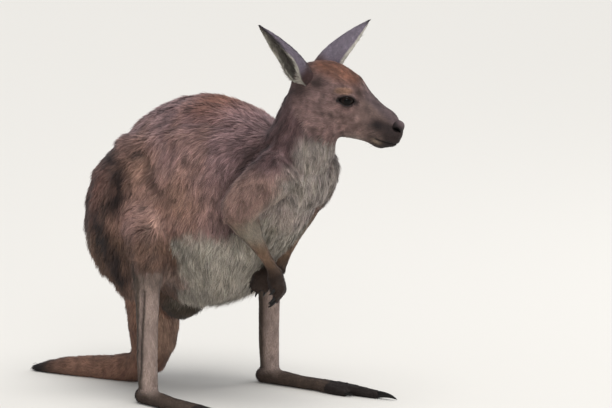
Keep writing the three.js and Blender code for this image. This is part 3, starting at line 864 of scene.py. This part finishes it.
def paintHead(places, facing, kind, colour, broad, fine):
    h = inHead(places)
    along, left, up = h.T
    side = np.abs(left)
    mirror = np.stack([along, side, up], 1)
    head = np.isin(kind, ("head", "jaw", "nose", "eye"))

    def paint(name, share):
        nonlocal colour
        colour = mixed(colour, hue[name], np.clip(share, 0, 1) * head)

    paint("face", 1)
    paint("neck", 0.8 * ramp(-along, -20, 5))
    paint("crown", 0.9 * ramp(up, 14, 36) * ramp(along, -10, 20) * (1 - ramp(along, 84, 110)))
    paint("dark", 0.95 * spot(mirror, (29, 42, 8), np.array([20, 20, 17])))
    paint("dark", 0.6 * spot(mirror, (12, 46, -20), np.array([20, 18, 20])))
    paint("cheek", 0.8 * spot(mirror, (80, 42, -38), np.array([36, 24, 20])))
    paint("muzzle", 0.8 * ramp(along, 96, 128))
    paint("cheek", 0.7 * spot(mirror, (120, 30, -34), np.array([36, 26, 22])))
    paint("bridge", 0.85 * ramp(along, 92, 120) * ramp(up - np.interp(along, (90, 190), (24, -14)), -9, 3))
    alongEye = (along - 78) * 0.956 + (up - 13) * 0.292
    aboveEye = (up - 13) * 0.956 - (along - 78) * 0.292
    patch = (alongEye / 16) ** 2 + (aboveEye / 6.5) ** 2 + ((side - 38) / 22) ** 2
    paint("crownDark", 0.8 * spot(mirror, (103, 28, 20), np.array([13, 13, 11])))
    paint("brow", 0.95 * ramp(-patch, -1.35, -0.45))
    paint("muzzleDark", 1.1 * spot(mirror, (157, 24, -20), np.array([26, 22, 15])))
    paint("muzzleDark", 0.5 * spot(mirror, (126, 30, -4), np.array([24, 14, 6])))
    paint("muzzleDark", 0.9 * ramp(along + 0.25 * up + fine * 6 + broad * 4, 150, 172) * ramp(-up, 7, 15))
    paint("muzzleDark", 0.9 * ramp(along + fine * 4, 140, 162) * ramp(-up + fine * 3, 38, 48))
    paint("chin", 1.1 * spot(mirror, (163, 18, -50), np.array([11, 14, 6.5])))
    paint("bridge", 0.5 * ramp(along, 120, 150) * ramp(up - np.interp(along, (120, 190), (12, -10)), -2, 3))
    paint("chest", 0.35 * ramp(-facing @ headUp, 0.45, 0.9) * (1 - ramp(along, 130, 160)))
    for name in ("right", "left"):
        reach, distance, _, a, b = eyeReach(places, name)
        close = distance < 26
        paint("muzzleDark", 0.65 * (1 - ramp(reach, 1.12, 1.5)) * close)
        paint("muzzleDark", 0.8 * close * ramp(a, 0.4, 0.75) * (1 - ramp(np.abs(b + 0.1 * a), 0.08, 0.3)))
        paint("lid", (1 - ramp(reach, 1.06, 1.22)) * close)
    corner = mouthShape["back"]
    mouth = np.exp(-((up - mouthLine(h)) / 2.4) ** 2) * ramp(along, corner - 2, corner + 4)
    paint("lid", 0.85 * mouth)
    mottle = 0.42 * cloud(h * (0.5, 1, 1), 5, 51) + 0.32 * cloud(h * (0.7, 1, 1), 11, 52)
    inPad = padReach(h)
    paint("lid", 1 - ramp(inPad, 1, 1.06))
    return colour * (1 + head * mottle * (1 - 0.5 * ramp(along, 120, 160)))[:, None]


def paintEar(places, side):
    t, angle, cup, wrap = inEar(places, side)
    edge = np.abs(angle) / np.maximum(wrap, 0.1)
    front = (angle > 0) == (side == "right")
    colour = np.where(cup[:, None], hue["earCup"], hue["earBack"])
    colour = mixed(colour, hue["neck"], ramp(0.2 - t, 0, 0.16) * ~cup)
    streak = cloud(places, 4, 41)
    inner = 0.15 + 0.4 * streak + 0.4 * ramp(edge, 0.5, 0.9)
    colour = mixed(colour, hue["earHair"], cup * inner * (1 - ramp(t, 0.75, 1)))
    high = np.where(front, 0.35, 0.75) if side == "right" else np.full(len(t), 0.9)
    wide = front & (side == "left")
    fringe = ramp(edge, np.where(wide, 0.8, 0.92), np.where(wide, 0.9, 0.98))
    colour = mixed(colour, hue["earRim"], 0.95 * fringe * (1 - ramp(t, high, high + 0.22)))
    dark = front * (side == "right") * ramp(edge, 0.82, 0.95) * ramp(t, 0.45, 0.7)
    colour = mixed(colour, hue["earTip"], 0.85 * dark)
    notch = 0.85 * cup * front * ramp(edge, 0.45, 0.7) * (1 - ramp(t, 0.1, 0.35))
    colour = mixed(colour, hue["earRim"], notch)
    return mixed(colour, hue["earTip"], 0.8 * ramp(t, 0.84, 1) * ~cup)


# Coat: flat tapering locks that lie over the skin

coat = {
    "sunk": 0.6,
    "steps": (0, 0.5, 1),
    "widths": (0.8, 1, 0),
    "flatten": 0.42,  # how much a lock's rise eases towards its tip
    "twist": 0.4,
    "clump": 15,  # from one clump of locks to the next
    "patch": 0.003,  # of the unwrap, for each lock
    "quickGap": 1,
}
rangeOf = {
    "coatBackRight": (("hips", "belly", "chest"), -1, 1),
    "coatBackLeft": (("hips", "belly", "chest"), 1, 1),
    "coatBellyRight": (("hips", "belly", "chest"), -1, -1),
    "coatBellyLeft": (("hips", "belly", "chest"), 1, -1),
    "coatHaunchRight": (("thigh",), -1, 0),
    "coatHaunchLeft": (("thigh",), 1, 0),
    "coatNeck": (("neck",), 0, 0),
    "coatHead": (("head", "jaw", "eye", "nose"), 0, 0),
    "coatArms": (("upper_arm", "forearm", "hand"), 0, 0),
    "coatLegRight": (("shank", "foot", "toes"), -1, 0),
    "coatLegLeft": (("shank", "foot", "toes"), 1, 0),
    "coatTail": (("tail_root", "tail"), 0, 0),
}
flankLevel = 400  # parts the back's pieces of coat from the belly's


def scatter(mesh, fields):
    # roots spread evenly over a mesh, as far apart as its gap field says, with its fields at each
    points, corners = vertexArray(mesh), triangleArray(mesh)
    a, b, c = points[corners].transpose(1, 0, 2)
    area = np.linalg.norm(np.cross(b - a, c - a), axis=1) / 2 / mm ** 2
    gap = fields["gap"][corners].mean(1)[:, 0] * coat["quickGap"]
    count = np.floor(area / gap ** 2 + chance.random(len(area))).astype(int)
    face = np.repeat(np.arange(len(area)), count)
    u, v = np.sqrt(chance.random(len(face))), chance.random(len(face))
    shares = np.stack([1 - u, u * (1 - v), u * v], 1)
    found = {"place": (points[corners[face]] * shares[..., None]).sum(1) / mm}
    for name, values in fields.items():
        found[name] = (values[corners[face]] * shares[..., None]).sum(1)
    found["nearest"] = corners[face, shares.argmax(1)]
    return found


def kept(roots, keep):
    return {name: values[keep] for name, values in roots.items()}


def turned(ways, around, angles):
    # unit vectors turned about the unit vectors around
    return ways * np.cos(angles)[:, None] + np.cross(around, ways) * np.sin(angles)[:, None]


def comb(roots):
    # lies each lock along the skin, with waves, cowlicks and clumps
    places, normals = roots["place"], unit(roots["normal"])
    way = roots["lie"] - normals * (roots["lie"] * normals).sum(1)[:, None]
    way = unit(way + 1e-4 * np.array([0, 0, -1]))
    n = len(places)
    long = ramp(roots["length"][:, 0], 6, 20)
    angle = (0.1 + 0.2 * long) * cloud(places, 42, 21) + (0.08 + 0.2 * long) * cloud(places, 15, 22)
    way = turned(way, normals, angle + chance.normal(0, 0.12, n))
    length = roots["length"][:, 0] * chance.normal(1, 0.16, n).clip(0.55, 1.45)
    length *= 1 + 0.18 * cloud(places, 24, 23)
    rise = roots["rise"][:, 0] * chance.normal(1, 0.3, n).clip(0.3, 2)
    rise *= 1 + 0.25 * long * cloud(places, 19, 24)
    clumps = chance.random(n) < (roots["gap"][:, 0] / coat["clump"]) ** 2
    if clumps.sum() > 4:
        tree = KDTree(int(clumps.sum()))
        heads = np.flatnonzero(clumps)
        for i, k in enumerate(heads):
            tree.insert(places[k], i)
        tree.balance()
        head = heads[[tree.find(p)[1] for p in places]]
        goal = places[head] + way[head] * length[head, None] * 0.9
        pull = (goal - places) - normals * ((goal - places) * normals).sum(1)[:, None]
        pull *= np.minimum(1, length * 0.8 / np.maximum(np.linalg.norm(pull, axis=1), 1e-6))[:, None]
        share = 0.34 * long[:, None]
        way = unit(way * length[:, None] * (1 - share) + pull * share)
    return way, length, rise


def lockMesh(name, roots, colours, tips):
    # one mesh of all the locks: a quad and a point for each
    way, length, rise = comb(roots)
    normals = unit(roots["normal"])
    n = len(length)
    side = np.cross(way, normals)
    roll = chance.normal(0, coat["twist"], n)
    flat = side * np.cos(roll)[:, None] + normals * np.sin(roll)[:, None]
    width = roots["width"][:, 0] * chance.normal(1, 0.2, n).clip(0.5, 1.6)
    hang = roots["hang"][:, 0]
    bow = chance.normal(0, 0.09, n)
    rows = []
    for t in coat["steps"]:
        lift = length * rise * (t - coat["flatten"] * t * t) - coat["sunk"] * (1 - t)
        row = roots["place"] + way * (length * t)[:, None] + normals * lift[:, None]
        row = row + side * (length * bow * math.sin(math.pi * t))[:, None]
        row[:, 2] -= length * hang * t * t
        rows.append(row)
    points, shading, shade = [], [], []
    for t, row, half in zip(coat["steps"], rows, coat["widths"]):
        for sign in ((-1, 1) if half else (0,)):
            points.append(row + flat * (width * half / 2 * sign)[:, None])
            shading.append(unit(normals + flat * 0.3 * sign + way * 0.12))
            # each lock darker towards its root, painted shade between the locks with the hair's darker base,
            # and its tip paler or darker
            shade.append(colours * (0.55 + 0.45 * ramp(t, 0, 0.6)) * (1 + tips * t * t)[:, None])
    k = len(points)
    points = np.stack(points, 1)
    points[..., 2] = np.maximum(points[..., 2], 0.25)
    mesh = bpy.data.meshes.new(name)
    mesh.vertices.add(n * k)
    mesh.vertices.foreach_set("co", (points.reshape(-1, 3) * mm).astype(np.float32).ravel())
    faces = np.array([0, 1, 3, 2, 2, 3, 4])
    starts = np.array([0, 4])
    mesh.loops.add(n * len(faces))
    mesh.polygons.add(n * len(starts))
    first = np.arange(n)[:, None]
    mesh.loops.foreach_set("vertex_index", (faces + first * k).astype(np.int32).ravel())
    mesh.polygons.foreach_set("loop_start", (starts + first * len(faces)).astype(np.int32).ravel())
    mesh.update(calc_edges=True)
    tint = np.concatenate([np.stack(shade, 1).reshape(-1, 3), np.ones((n * k, 1))], 1)
    layer = mesh.color_attributes.new("hair", "FLOAT_COLOR", "POINT")
    layer.data.foreach_set("color", tint.clip(0, 1).astype(np.float32).ravel())
    patch = np.array([(0, 0), (1, 0), (0, 0.5), (1, 0.5), (0.5, 1)])
    spots = (roots["unwrap"][:, None] * (1 - coat["patch"]) + patch[None] * coat["patch"])
    uv = mesh.uv_layers.new(name="OFBake")
    uv.data.foreach_set("uv", spots[:, faces].astype(np.float32).ravel())
    mesh.polygons.foreach_set("use_smooth", np.ones(len(mesh.polygons), bool))
    mesh.normals_split_custom_set_from_vertices(np.stack(shading, 1).reshape(-1, 3).astype(np.float32))
    return mesh


def unwrapOf(roots, cells, axes):
    # each part's skin unrolled round its own length, the parts side by side
    unwrap = np.zeros((len(cells), 2))
    names = sorted(set(cells))
    for i, name in enumerate(names):
        on = cells == name
        centre, axis = axes[name]
        along = (roots["place"][on] - centre) @ axis
        first = unit(np.cross(axis, (0.3, 0.9, 0.1)))
        second = np.cross(axis, first)
        around = np.arctan2((roots["place"][on] - centre) @ second, (roots["place"][on] - centre) @ first)
        fit = lambda v: (v - v.min()) / max(np.ptp(v), 1e-6)
        unwrap[on] = np.stack([(i + 0.01 + 0.98 * fit(along)) / len(names), fit(around)], 1)
    return unwrap


def growCoat(mesh, ownerOf):
    points, edges = vertexArray(mesh), edgeArray(mesh)
    owner = ownerOf(points)
    fields = {key: tableOf(key, owner)[:, None] for key in ("length", "width", "rise", "gap")}
    fields["lie"] = np.array([lie[node] for node in skinNodes], float)[owner]
    facing = normalArray(mesh)
    places = points / mm
    h = inHead(places)
    kinds = skinKinds[owner]
    under = ramp(310 - places[:, 2], 0, 90) * np.isin(kinds, ("belly", "chest"))
    top = ramp(facing[:, 2], 0.25, 0.85) * np.isin(kinds, ("belly", "hips", "chest", "thigh"))
    fields["lie"] += np.array([-1.6, 0, 0]) * top[:, None]
    low = ramp(192 - places[:, 2], 0, 22) * ramp(18 - places[:, 0], 0, 28) * np.isin(kinds, ("hips", "belly"))
    fields["length"][:, 0] *= (1 + 0.4 * under) * (1 - 0.6 * low)
    headward = np.isin(kinds, ("head", "jaw", "nose", "eye"))
    front = ramp(h[:, 0], 60, 150) * headward
    crown = ramp(h[:, 2], 20, 44) * headward * (1 - front)
    fields["length"][:, 0] *= 1 - 0.45 * front + 0.25 * crown
    fields["width"][:, 0] *= 1 - 0.25 * front
    fields["lie"] += headUp * (0.5 * front * ramp(h[:, 2], -30, 0))[:, None]
    for key in fields:
        fields[key] = spread(fields[key], edges, 90 if key == "lie" else 45)
    fields["hang"] = (0.16 * under * (1 - low) + 0.03)[:, None]
    fields["normal"] = facing
    roots = scatter(mesh, fields)
    nearby = roots["nearest"]
    roots["owner"] = owner[nearby]
    report(f"{len(nearby)} roots")
    reach = np.minimum(eyeReach(roots["place"], "right")[0], eyeReach(roots["place"], "left")[0])
    inPad = padReach(inHead(roots["place"]))
    sole = (roots["place"][:, 2] < 2.5) & (roots["normal"][:, 2] < -0.5)
    roots = kept(roots, (reach > 1.12) & (inPad > 1.03) & ~sole)
    kinds = skinKinds[roots["owner"]]
    cells = np.array(skinNodes)[roots["owner"]]
    axes = {node: (middle(node), unit(lie[node])) for node in skinNodes}
    axes.update({node: (middle(node), np.array([1.0, 0, 0])) for node in ("hips", "belly", "chest")})
    colours = markingsAndShade(roots["place"], unit(roots["normal"]), kinds)
    total = 0
    for name, (members, side, level) in rangeOf.items():
        on = np.isin(kinds, members)
        if side:
            on &= np.sign(roots["place"][:, 1] + 1e-6) == side
        if level:
            on &= np.sign(roots["place"][:, 2] - flankLevel + 1e-6) == level
        part = kept(roots, on)
        part["unwrap"] = unwrapOf(part, cells[on], axes)
        total += addCoat(name, part, colours[on], kinds[on])
    return total


def addCoat(name, roots, colours, kinds):
    n = len(colours)
    long = ramp(roots["length"][:, 0], 6, 20)
    places = roots["place"]
    streaks = cloud(places * (1, 1, 0.35), 4.5, 31) + 0.7 * cloud(places * (1, 1, 0.45), 12, 32)
    fleck = 1 + chance.normal(0, 0.13, n) + (0.28 + 0.18 * long) * streaks
    colours = colours * fleck[:, None] * (1 + chance.normal(0, 0.02, (n, 3)))
    tips = np.where(chance.random(n) < 0.35, -0.5, 0.38) * (0.5 + 0.5 * long)
    mesh = lockMesh(name, roots, colours, tips)
    piece = newPiece(name, mesh)
    mesh.materials.append(coatHair())
    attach(piece, "root")
    triangles = 3 * n
    print(f"{name}: {triangles} triangles")
    return triangles


def growEarHair(side):
    # short hair on the back of the ear, longer and paler hair inside its cup and on its rim
    mesh = earMeshes[side]
    points = vertexArray(mesh) / mm
    n = len(points)
    t, angle, cup, wrap = inEar(points, side)
    edge = np.abs(angle) / wrap
    rim = ramp(edge, 0.8, 0.98)
    front = (angle > 0) == (side == "right")
    notch = cup * front * ramp(edge, 0.5, 0.8) * (1 - ramp(t, 0.1, 0.32))
    way, _, across = earAxes(side)
    inward = -np.sign(angle)[:, None] * across
    length = np.where(cup, 6 + 7 * ramp(edge, 0.3, 0.85), 5)
    length = length + (2.5 * front - 1.5) * rim * (1 - ramp(t, 0.6, 1)) + 5 * notch
    lieWay = way + np.where(cup[:, None], inward * (0.9 * ramp(edge, 0.3, 0.8))[:, None], 0)
    rise = np.where(cup, 0.32, 0.24)
    fields = {
        "length": (length * (1 - 0.35 * ramp(t, 0.7, 1)))[:, None],
        "width": np.full((n, 1), 0.75),
        "rise": rise[:, None],
        "gap": np.where(cup, 1.9 - 0.5 * rim, 1.3)[:, None],
        "lie": lieWay,
        "hang": np.zeros((n, 1)),
        "normal": normalArray(mesh),
    }
    roots = scatter(mesh, fields)
    t, angle, cup, wrap = inEar(roots["place"], side)
    sunk = []
    for place in roots["place"] * mm:
        near, normal = headTree.find_nearest(place)[:2]
        sunk.append((Vector(place) - near).dot(normal) < -0.0005)
    keep = ~np.array(sunk)
    roots = kept(roots, keep)
    t, angle, cup = t[keep], angle[keep], cup[keep]
    roots["unwrap"] = np.stack([
        np.where(cup, 0.5, 0) + 0.49 * (angle / 5 + 0.5).clip(0, 1),
        (t.clip(-0.1, 1) + 0.1) / 1.1,
    ], 1)
    colours = paintEar(roots["place"], side)
    return addCoat(f"coatEar{side.capitalize()}", roots, colours, None)


def coatHair():
    # hollow marsupial guard hair: soft, dull, with a faint pale sheen where it is seen along the body
    if "guardHair" in bpy.data.materials:
        return bpy.data.materials["guardHair"]
    material, tree, shader = newMaterial("guardHair")
    grain = grainOf(tree, "ShaderNodeTexNoise", {"Scale": 700, "Detail": 2}, "Fac")
    tintByGrain(tree, shader, grain, 0.8, 1.2)
    shader.inputs["Roughness"].default_value = 0.62
    shader.inputs["Specular IOR Level"].default_value = 0.28
    shader.inputs["Sheen Weight"].default_value = 0.12
    shader.inputs["Sheen Roughness"].default_value = 0.5
    shader.inputs["Sheen Tint"].default_value = (0.86, 0.84, 0.9, 1)
    return material


def bareSkin():
    # thin skin and underfur, matt, with fine creases
    material, tree, shader = newMaterial("skinUnderfur")
    grain = grainOf(tree, "ShaderNodeTexNoise", {"Scale": 420, "Detail": 4}, "Fac")
    tintByGrain(tree, shader, grain, 0.72, 1.1)
    bumpByGrain(tree, shader, grain, 0.5, 0.0006)
    shader.inputs["Roughness"].default_value = 0.72
    shader.inputs["Specular IOR Level"].default_value = 0.3
    return material


def paintMesh(mesh, colours):
    layer = mesh.color_attributes.new("hair", "FLOAT_COLOR", "POINT")
    tint = np.concatenate([colours, np.ones((len(colours), 1))], 1)
    layer.data.foreach_set("color", tint.clip(0, 1).astype(np.float32).ravel())
    mesh.polygons.foreach_set("use_smooth", np.ones(len(mesh.polygons), bool))


# Eyes, nose and claws

def buildEye(side):
    # dark brown iris behind a wet cornea
    centre, out, long, high = eyeAxes(side)
    bm = bmesh.new()
    bmesh.ops.create_uvsphere(bm, u_segments=48, v_segments=32, radius=eyeShape["radius"] * mm)
    for v in bm.verts:
        slope = math.acos(max(-1, min(1, v.co.z / v.co.length)))
        v.co *= 1 + 0.05 * math.exp(-(slope / 0.55) ** 2)
    turn = Matrix((long, high, out)).transposed().to_4x4()
    bmesh.ops.transform(bm, matrix=Matrix.Translation(Vector(centre * mm)) @ turn, verts=bm.verts)
    mesh = meshOf(bm, f"eyeball_{side}")
    points = vertexArray(mesh) / mm - centre
    way = unit(points)
    pupil = np.hypot((way @ long) / 1.25, (way @ high)) / 0.36
    iris = np.hypot(way @ long, way @ high) / 0.8
    brown, black, rim = linear("1a0f0a"), linear("030202"), linear("080505")
    colours = mixed(np.tile(black, (len(points), 1)), brown, ramp(pupil, 0.85, 1.15))
    colours = mixed(colours, rim, ramp(iris, 0.75, 1))
    paintMesh(mesh, colours)
    mesh.materials.append(wetEye())
    piece = newPiece(f"eyeball_{side}", mesh)
    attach(piece, "root")
    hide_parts(f"eye_{side}")


def wetEye():
    # moist cornea: clear, very smooth, over a dark iris
    if "wetCornea" in bpy.data.materials:
        return bpy.data.materials["wetCornea"]
    material, tree, shader = newMaterial("wetCornea")
    hair = addNode(tree, "ShaderNodeVertexColor", {"layer_name": "hair"})
    tree.links.new(hair.outputs["Color"], shader.inputs["Base Color"])
    shader.inputs["Roughness"].default_value = 0.05
    shader.inputs["IOR"].default_value = 1.376
    shader.inputs["Specular IOR Level"].default_value = 0.22
    return material


def buildNose():
    bm = bmesh.new()
    bmesh.ops.create_icosphere(bm, subdivisions=6, radius=1)
    way = np.array([v.co for v in bm.verts])
    way = unit(way)
    way = way / (np.abs(way) ** 2.5).sum(1, keepdims=True) ** (1 / 2.5)  # squarer than an ellipsoid
    h = nosePad["centre"] + way * nosePad["half"] * 0.97
    shade = np.zeros(len(h))
    for flip in (-1, 1):
        at = np.array(nosePad["nostril"]) * (1, flip, 1)
        outward = unit((0.55, flip, -0.1))
        long = unit(np.array((1, 0, -0.12)) - outward * (np.array((1, 0, -0.12)) @ outward))
        high = np.cross(outward, long) * flip
        a, b = (h - at) @ long, (h - at) @ high
        b = b - 0.035 * a * a + 0.8  # bowed, like a comma
        half = nosePad["opening"]
        q = np.sqrt((a / half[0]) ** 2 + (b / (half[1] * (1 - 0.04 * a))) ** 2)
        facing = ramp((h - nosePad["centre"]) @ outward, 3, 8)
        hole = (1 - ramp(q, 0.35, 1.05)) * facing
        rim = np.exp(-((q - 1.35) / 0.28) ** 2) * facing
        depth = nosePad["depth"] * (0.75 + 0.35 * ramp(b, -3, 3))
        h = h - outward * (hole * depth)[:, None] + outward * (rim * 0.9)[:, None]
        h = h - long * (hole * 1.5)[:, None]
        shade = np.maximum(shade, (1 - ramp(q, 0.95, 1.35)) * ramp((h - nosePad["centre"]) @ outward, -3, 1))
    groove = np.exp(-(h[:, 1] / 0.9) ** 2) * ramp(h[:, 0], 188, 194) * ramp(-h[:, 2], 12, 17)
    h[:, 0] -= groove * 1.4
    for v, place in zip(bm.verts, skull + h @ headAxes):
        v.co = place * mm
    mesh = meshOf(bm, "nosePad")
    # the pad's upper front painted mauve-grey, partly its own colour and partly a painted highlight, the rest
    # near black, and the nostrils black with painted shade
    top = ramp(h[:, 2] + 0.5 * (h[:, 0] - 185), -10, 2)
    tint = mixed(np.tile(linear("1c1516"), (len(h), 1)), linear("5a4b4d"), top)
    paintMesh(mesh, mixed(tint, linear("050404"), shade))
    mesh.materials.append(noseLeather())
    piece = newPiece("nosePad", mesh)
    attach(piece, "root")
    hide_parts("nose")


def noseLeather():
    # bare moist rhinarium: black skin in fine pebbles about a millimetre wide
    material, tree, shader = newMaterial("moistNoseSkin")
    grain = grainOf(tree, "ShaderNodeTexVoronoi", {"Scale": 1000}, "Distance")
    tintByGrain(tree, shader, grain, 0.75, 1.25)
    bumpByGrain(tree, shader, grain, 0.5, 0.0004)
    shader.inputs["Roughness"].default_value = 0.55
    shader.inputs["Specular IOR Level"].default_value = 0.12
    return material


clawShape = {"sides": 12, "rings": 9, "sunk": 2.5}


def buildClaw(node):
    # a horn bent through the solid's root, middle and tip, oval in section and pointed
    points = np.unique(vertexArray(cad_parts[node].data).round(6), axis=0) / mm
    centre = points.mean(0)
    axis = np.linalg.svd(points - centre)[2][0]
    along = (points - centre) @ axis
    if along.max() < -along.min():
        axis, along = -axis, -along
    share = (along - along.min()) / np.ptp(along)
    root, tip = points[share < 0.2].mean(0), points[share.argmax()]
    middleRing = points[(share > 0.3) & (share < 0.8)].mean(0)
    radius = np.linalg.norm(points[share < 0.2] - root, axis=1).max()
    bend = 2 * middleRing - (root + tip) / 2
    start = root - unit(tip - root) * clawShape["sunk"]
    bm = bmesh.new()
    ring = bmesh.ops.create_circle(bm, cap_ends=True, segments=clawShape["sides"], radius=1)["verts"]
    flat = np.array([v.co for v in ring])
    face = bm.faces[:]
    for i in range(clawShape["rings"] + 1):
        t = i / clawShape["rings"]
        if i:
            face = bmesh.ops.extrude_discrete_faces(bm, faces=face)["faces"]
            ring = face[0].verts[:]
        curve = (1 - t) ** 2 * start + 2 * t * (1 - t) * bend + t * t * tip
        way = unit(2 * (1 - t) * (bend - start) + 2 * t * (tip - bend))
        across = unit(np.cross(way, (0.13, 0.21, 0.97)))
        up = np.cross(across, way)
        size = radius * (0.97 * (1 - t) ** 0.75 + 0.03)
        for v, (u, w, _) in zip(ring, flat):
            v.co = (curve + across * u * size * 0.74 + up * w * size) * mm
    bmesh.ops.recalc_face_normals(bm, faces=bm.faces)
    mesh = meshOf(bm, node + "_horn")
    mesh.polygons.foreach_set("use_smooth", np.ones(len(mesh.polygons), bool))
    mesh.materials.append(clawHorn())
    piece = newPiece(node + "_horn", mesh)
    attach(piece, "root")
    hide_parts(node)


def clawHorn():
    # keratin: near black, worn to a dull shine, with a fine mottled grain
    if "clawKeratin" in bpy.data.materials:
        return bpy.data.materials["clawKeratin"]
    material, tree, shader = newMaterial("clawKeratin")
    grain = grainOf(tree, "ShaderNodeTexNoise", {"Scale": 380, "Detail": 3}, "Fac")
    tint = addNode(tree, "ShaderNodeMix", {"data_type": "RGBA"}, {"Factor": grain})
    tint.inputs["A"].default_value = colour4("060505")
    tint.inputs["B"].default_value = colour4("171310")
    tree.links.new(tint.outputs["Result"], shader.inputs["Base Color"])
    bumpByGrain(tree, shader, grain, 0.3, 0.0003)
    shader.inputs["Roughness"].default_value = 0.42
    shader.inputs["Specular IOR Level"].default_value = 0.25
    return material


# Whiskers and lashes

whisker = {
    "thickness": 0.32,
    "sides": 3,
    "hex": "1a1513",
    "muzzle": [  # where each row grows, how many hairs, how long
        ((158, -30), 4, 24), ((166, -26), 4, 27), ((160, -37), 4, 26), ((170, -35), 3, 22),
    ],
    "brow": ((72, 27), 4, 17),
    "chin": ((164, -56), 3, 12),
    "lashes": (9, 6.5),
}


def hairOf(root, way, bow, length):
    # one tapering bent hair: rings of points with a sharp end
    rings = []
    side = unit(np.cross(way, bow))
    high = np.cross(side, way)
    for k in range(5):
        t = k / 5
        at = root + way * length * t + bow * length * 0.3 * t * t
        wide = whisker["thickness"] * (1 - 0.75 * t)
        turns = np.arange(whisker["sides"]) * 2 * math.pi / whisker["sides"]
        rings.append(at + wide * (np.cos(turns)[:, None] * side + np.sin(turns)[:, None] * high))
    return np.concatenate(rings + [[root + way * length + bow * length * 0.3]])


def buildWhiskers():
    points, faces = [], []
    sides = whisker["sides"]

    def grow(root, way, bow, length):
        first = sum(len(p) for p in points)
        points.append(hairOf(root, unit(way), unit(bow), length))
        for ring in range(4):
            for k in range(sides):
                a, b = first + ring * sides + k, first + ring * sides + (k + 1) % sides
                faces.append((a, b, b + sides, a + sides))
        for k in range(sides):
            faces.append((first + 4 * sides + k, first + 4 * sides + (k + 1) % sides, first + 5 * sides))

    for flip in (-1, 1):
        rows = whisker["muzzle"] + [whisker["brow"], whisker["chin"]]
        for (along, up), count, long in rows:
            for k in range(count):
                start = skull + (np.array((along - 5.5 * k, flip * 60, up + 1.5 * k))) @ headAxes
                inward = Vector(-flip * headAxes[1])
                found = headTree.ray_cast(Vector(start * mm), inward)
                if found[0] is None:
                    continue
                normal = np.array(found[1])
                normal = normal * np.sign(normal @ (flip * headAxes[1]))
                root = np.array(found[0]) / mm - normal * 0.5
                way = normal * 0.75 - headWay * (0.55 + 0.1 * chance.random())
                way = way - headUp * 0.25 * chance.random()
                grow(root, way, -headUp - 0.4 * headWay, long * (0.75 + 0.4 * chance.random()))
        centre, out, long, high = eyeAxes("right" if flip < 0 else "left")
        count, reach = whisker["lashes"]
        for k in range(count):
            a = (k / (count - 1) - 0.5) * 1.5
            b = eyeShape["upper"] * (1 - (a / eyeShape["halfLong"]) ** 2) + 0.06
            root = out * math.sqrt(max(0.05, 1 - a * a - b * b)) + long * a + high * b
            root = centre + unit(root) * (eyeShape["radius"] + 1)
            way = out * 0.9 + high * 0.25 + long * (0.5 * a - 0.3)
            grow(root, way, high - 0.5 * out, reach * (0.8 + 0.3 * chance.random()))
    mesh = bpy.data.meshes.new("whiskers")
    mesh.from_pydata([tuple(p) for p in np.concatenate(points) * mm], [], faces)
    mesh.update()
    mesh.materials.append(whiskerHair())
    piece = newPiece("whiskers", mesh)
    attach(piece, "root")


def whiskerHair():
    # stiff dark bristle with a dull shine
    material, _, shader = newMaterial("whiskerBristle")
    shader.inputs["Base Color"].default_value = colour4(whisker["hex"])
    shader.inputs["Roughness"].default_value = 0.45
    return material


# The whole animal

buildStage()
skinMesh, ownerOf = buildSkin()
headTree = BVHTree.FromPolygons([v.co for v in skinMesh.vertices], [p.vertices for p in skinMesh.polygons])
earMeshes = {side: buildEar(side) for side in ears}
total = growCoat(skinMesh, ownerOf)
report("coat grown")
for side in ears:
    total += growEarHair(side)
report(f"ears grown, {total} triangles of coat")
points = vertexArray(skinMesh)
paintMesh(skinMesh, markingsAndShade(points / mm, normalArray(skinMesh), skinKinds[ownerOf(points)]) * 0.8)
for side, mesh in earMeshes.items():
    paintMesh(mesh, paintEar(vertexArray(mesh) / mm, side) * 0.85)
skinMesh.name = "skin"
skin = newPiece("skin", skinMesh)
skinMesh.materials.append(bareSkin())
report("skin painted")


def joinEars():
    bm = bmesh.new()
    bm.from_mesh(skinMesh)
    for mesh in earMeshes.values():
        bm.from_mesh(mesh)
    bm.to_mesh(skinMesh)
    bm.free()


def thinSkin():
    # fewer faces where the coat hides the skin
    group = skin.vertex_groups.new(name="coarse")
    places = vertexArray(skinMesh) / mm
    fine = detailZone(places, 24)
    group.add(np.flatnonzero(~fine).tolist(), 1, "REPLACE")
    faces = sum(len(p.vertices) - 2 for p in skinMesh.polygons)
    thin = skin.modifiers.new("thin", "DECIMATE")
    thin.ratio = skinShape["triangles"] / faces
    thin.vertex_group = "coarse"
    graph = bpy.context.evaluated_depsgraph_get()
    mesh = bpy.data.meshes.new_from_object(skin.evaluated_get(graph))
    skin.modifiers.clear()
    skin.data = mesh
    print(f"skin: {faces} triangles thinned to {sum(len(p.vertices) - 2 for p in mesh.polygons)}")


joinEars()
thinSkin()
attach(skin, "root")
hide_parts(*[n for n in skinNodes if kindOf(n) not in ("eye", "nose")], *earNodes)
for side in ears:
    buildEye(side)
buildNose()
buildWhiskers()
for node in clawNodes:
    buildClaw(node)
report("eyes, nose and claws done")
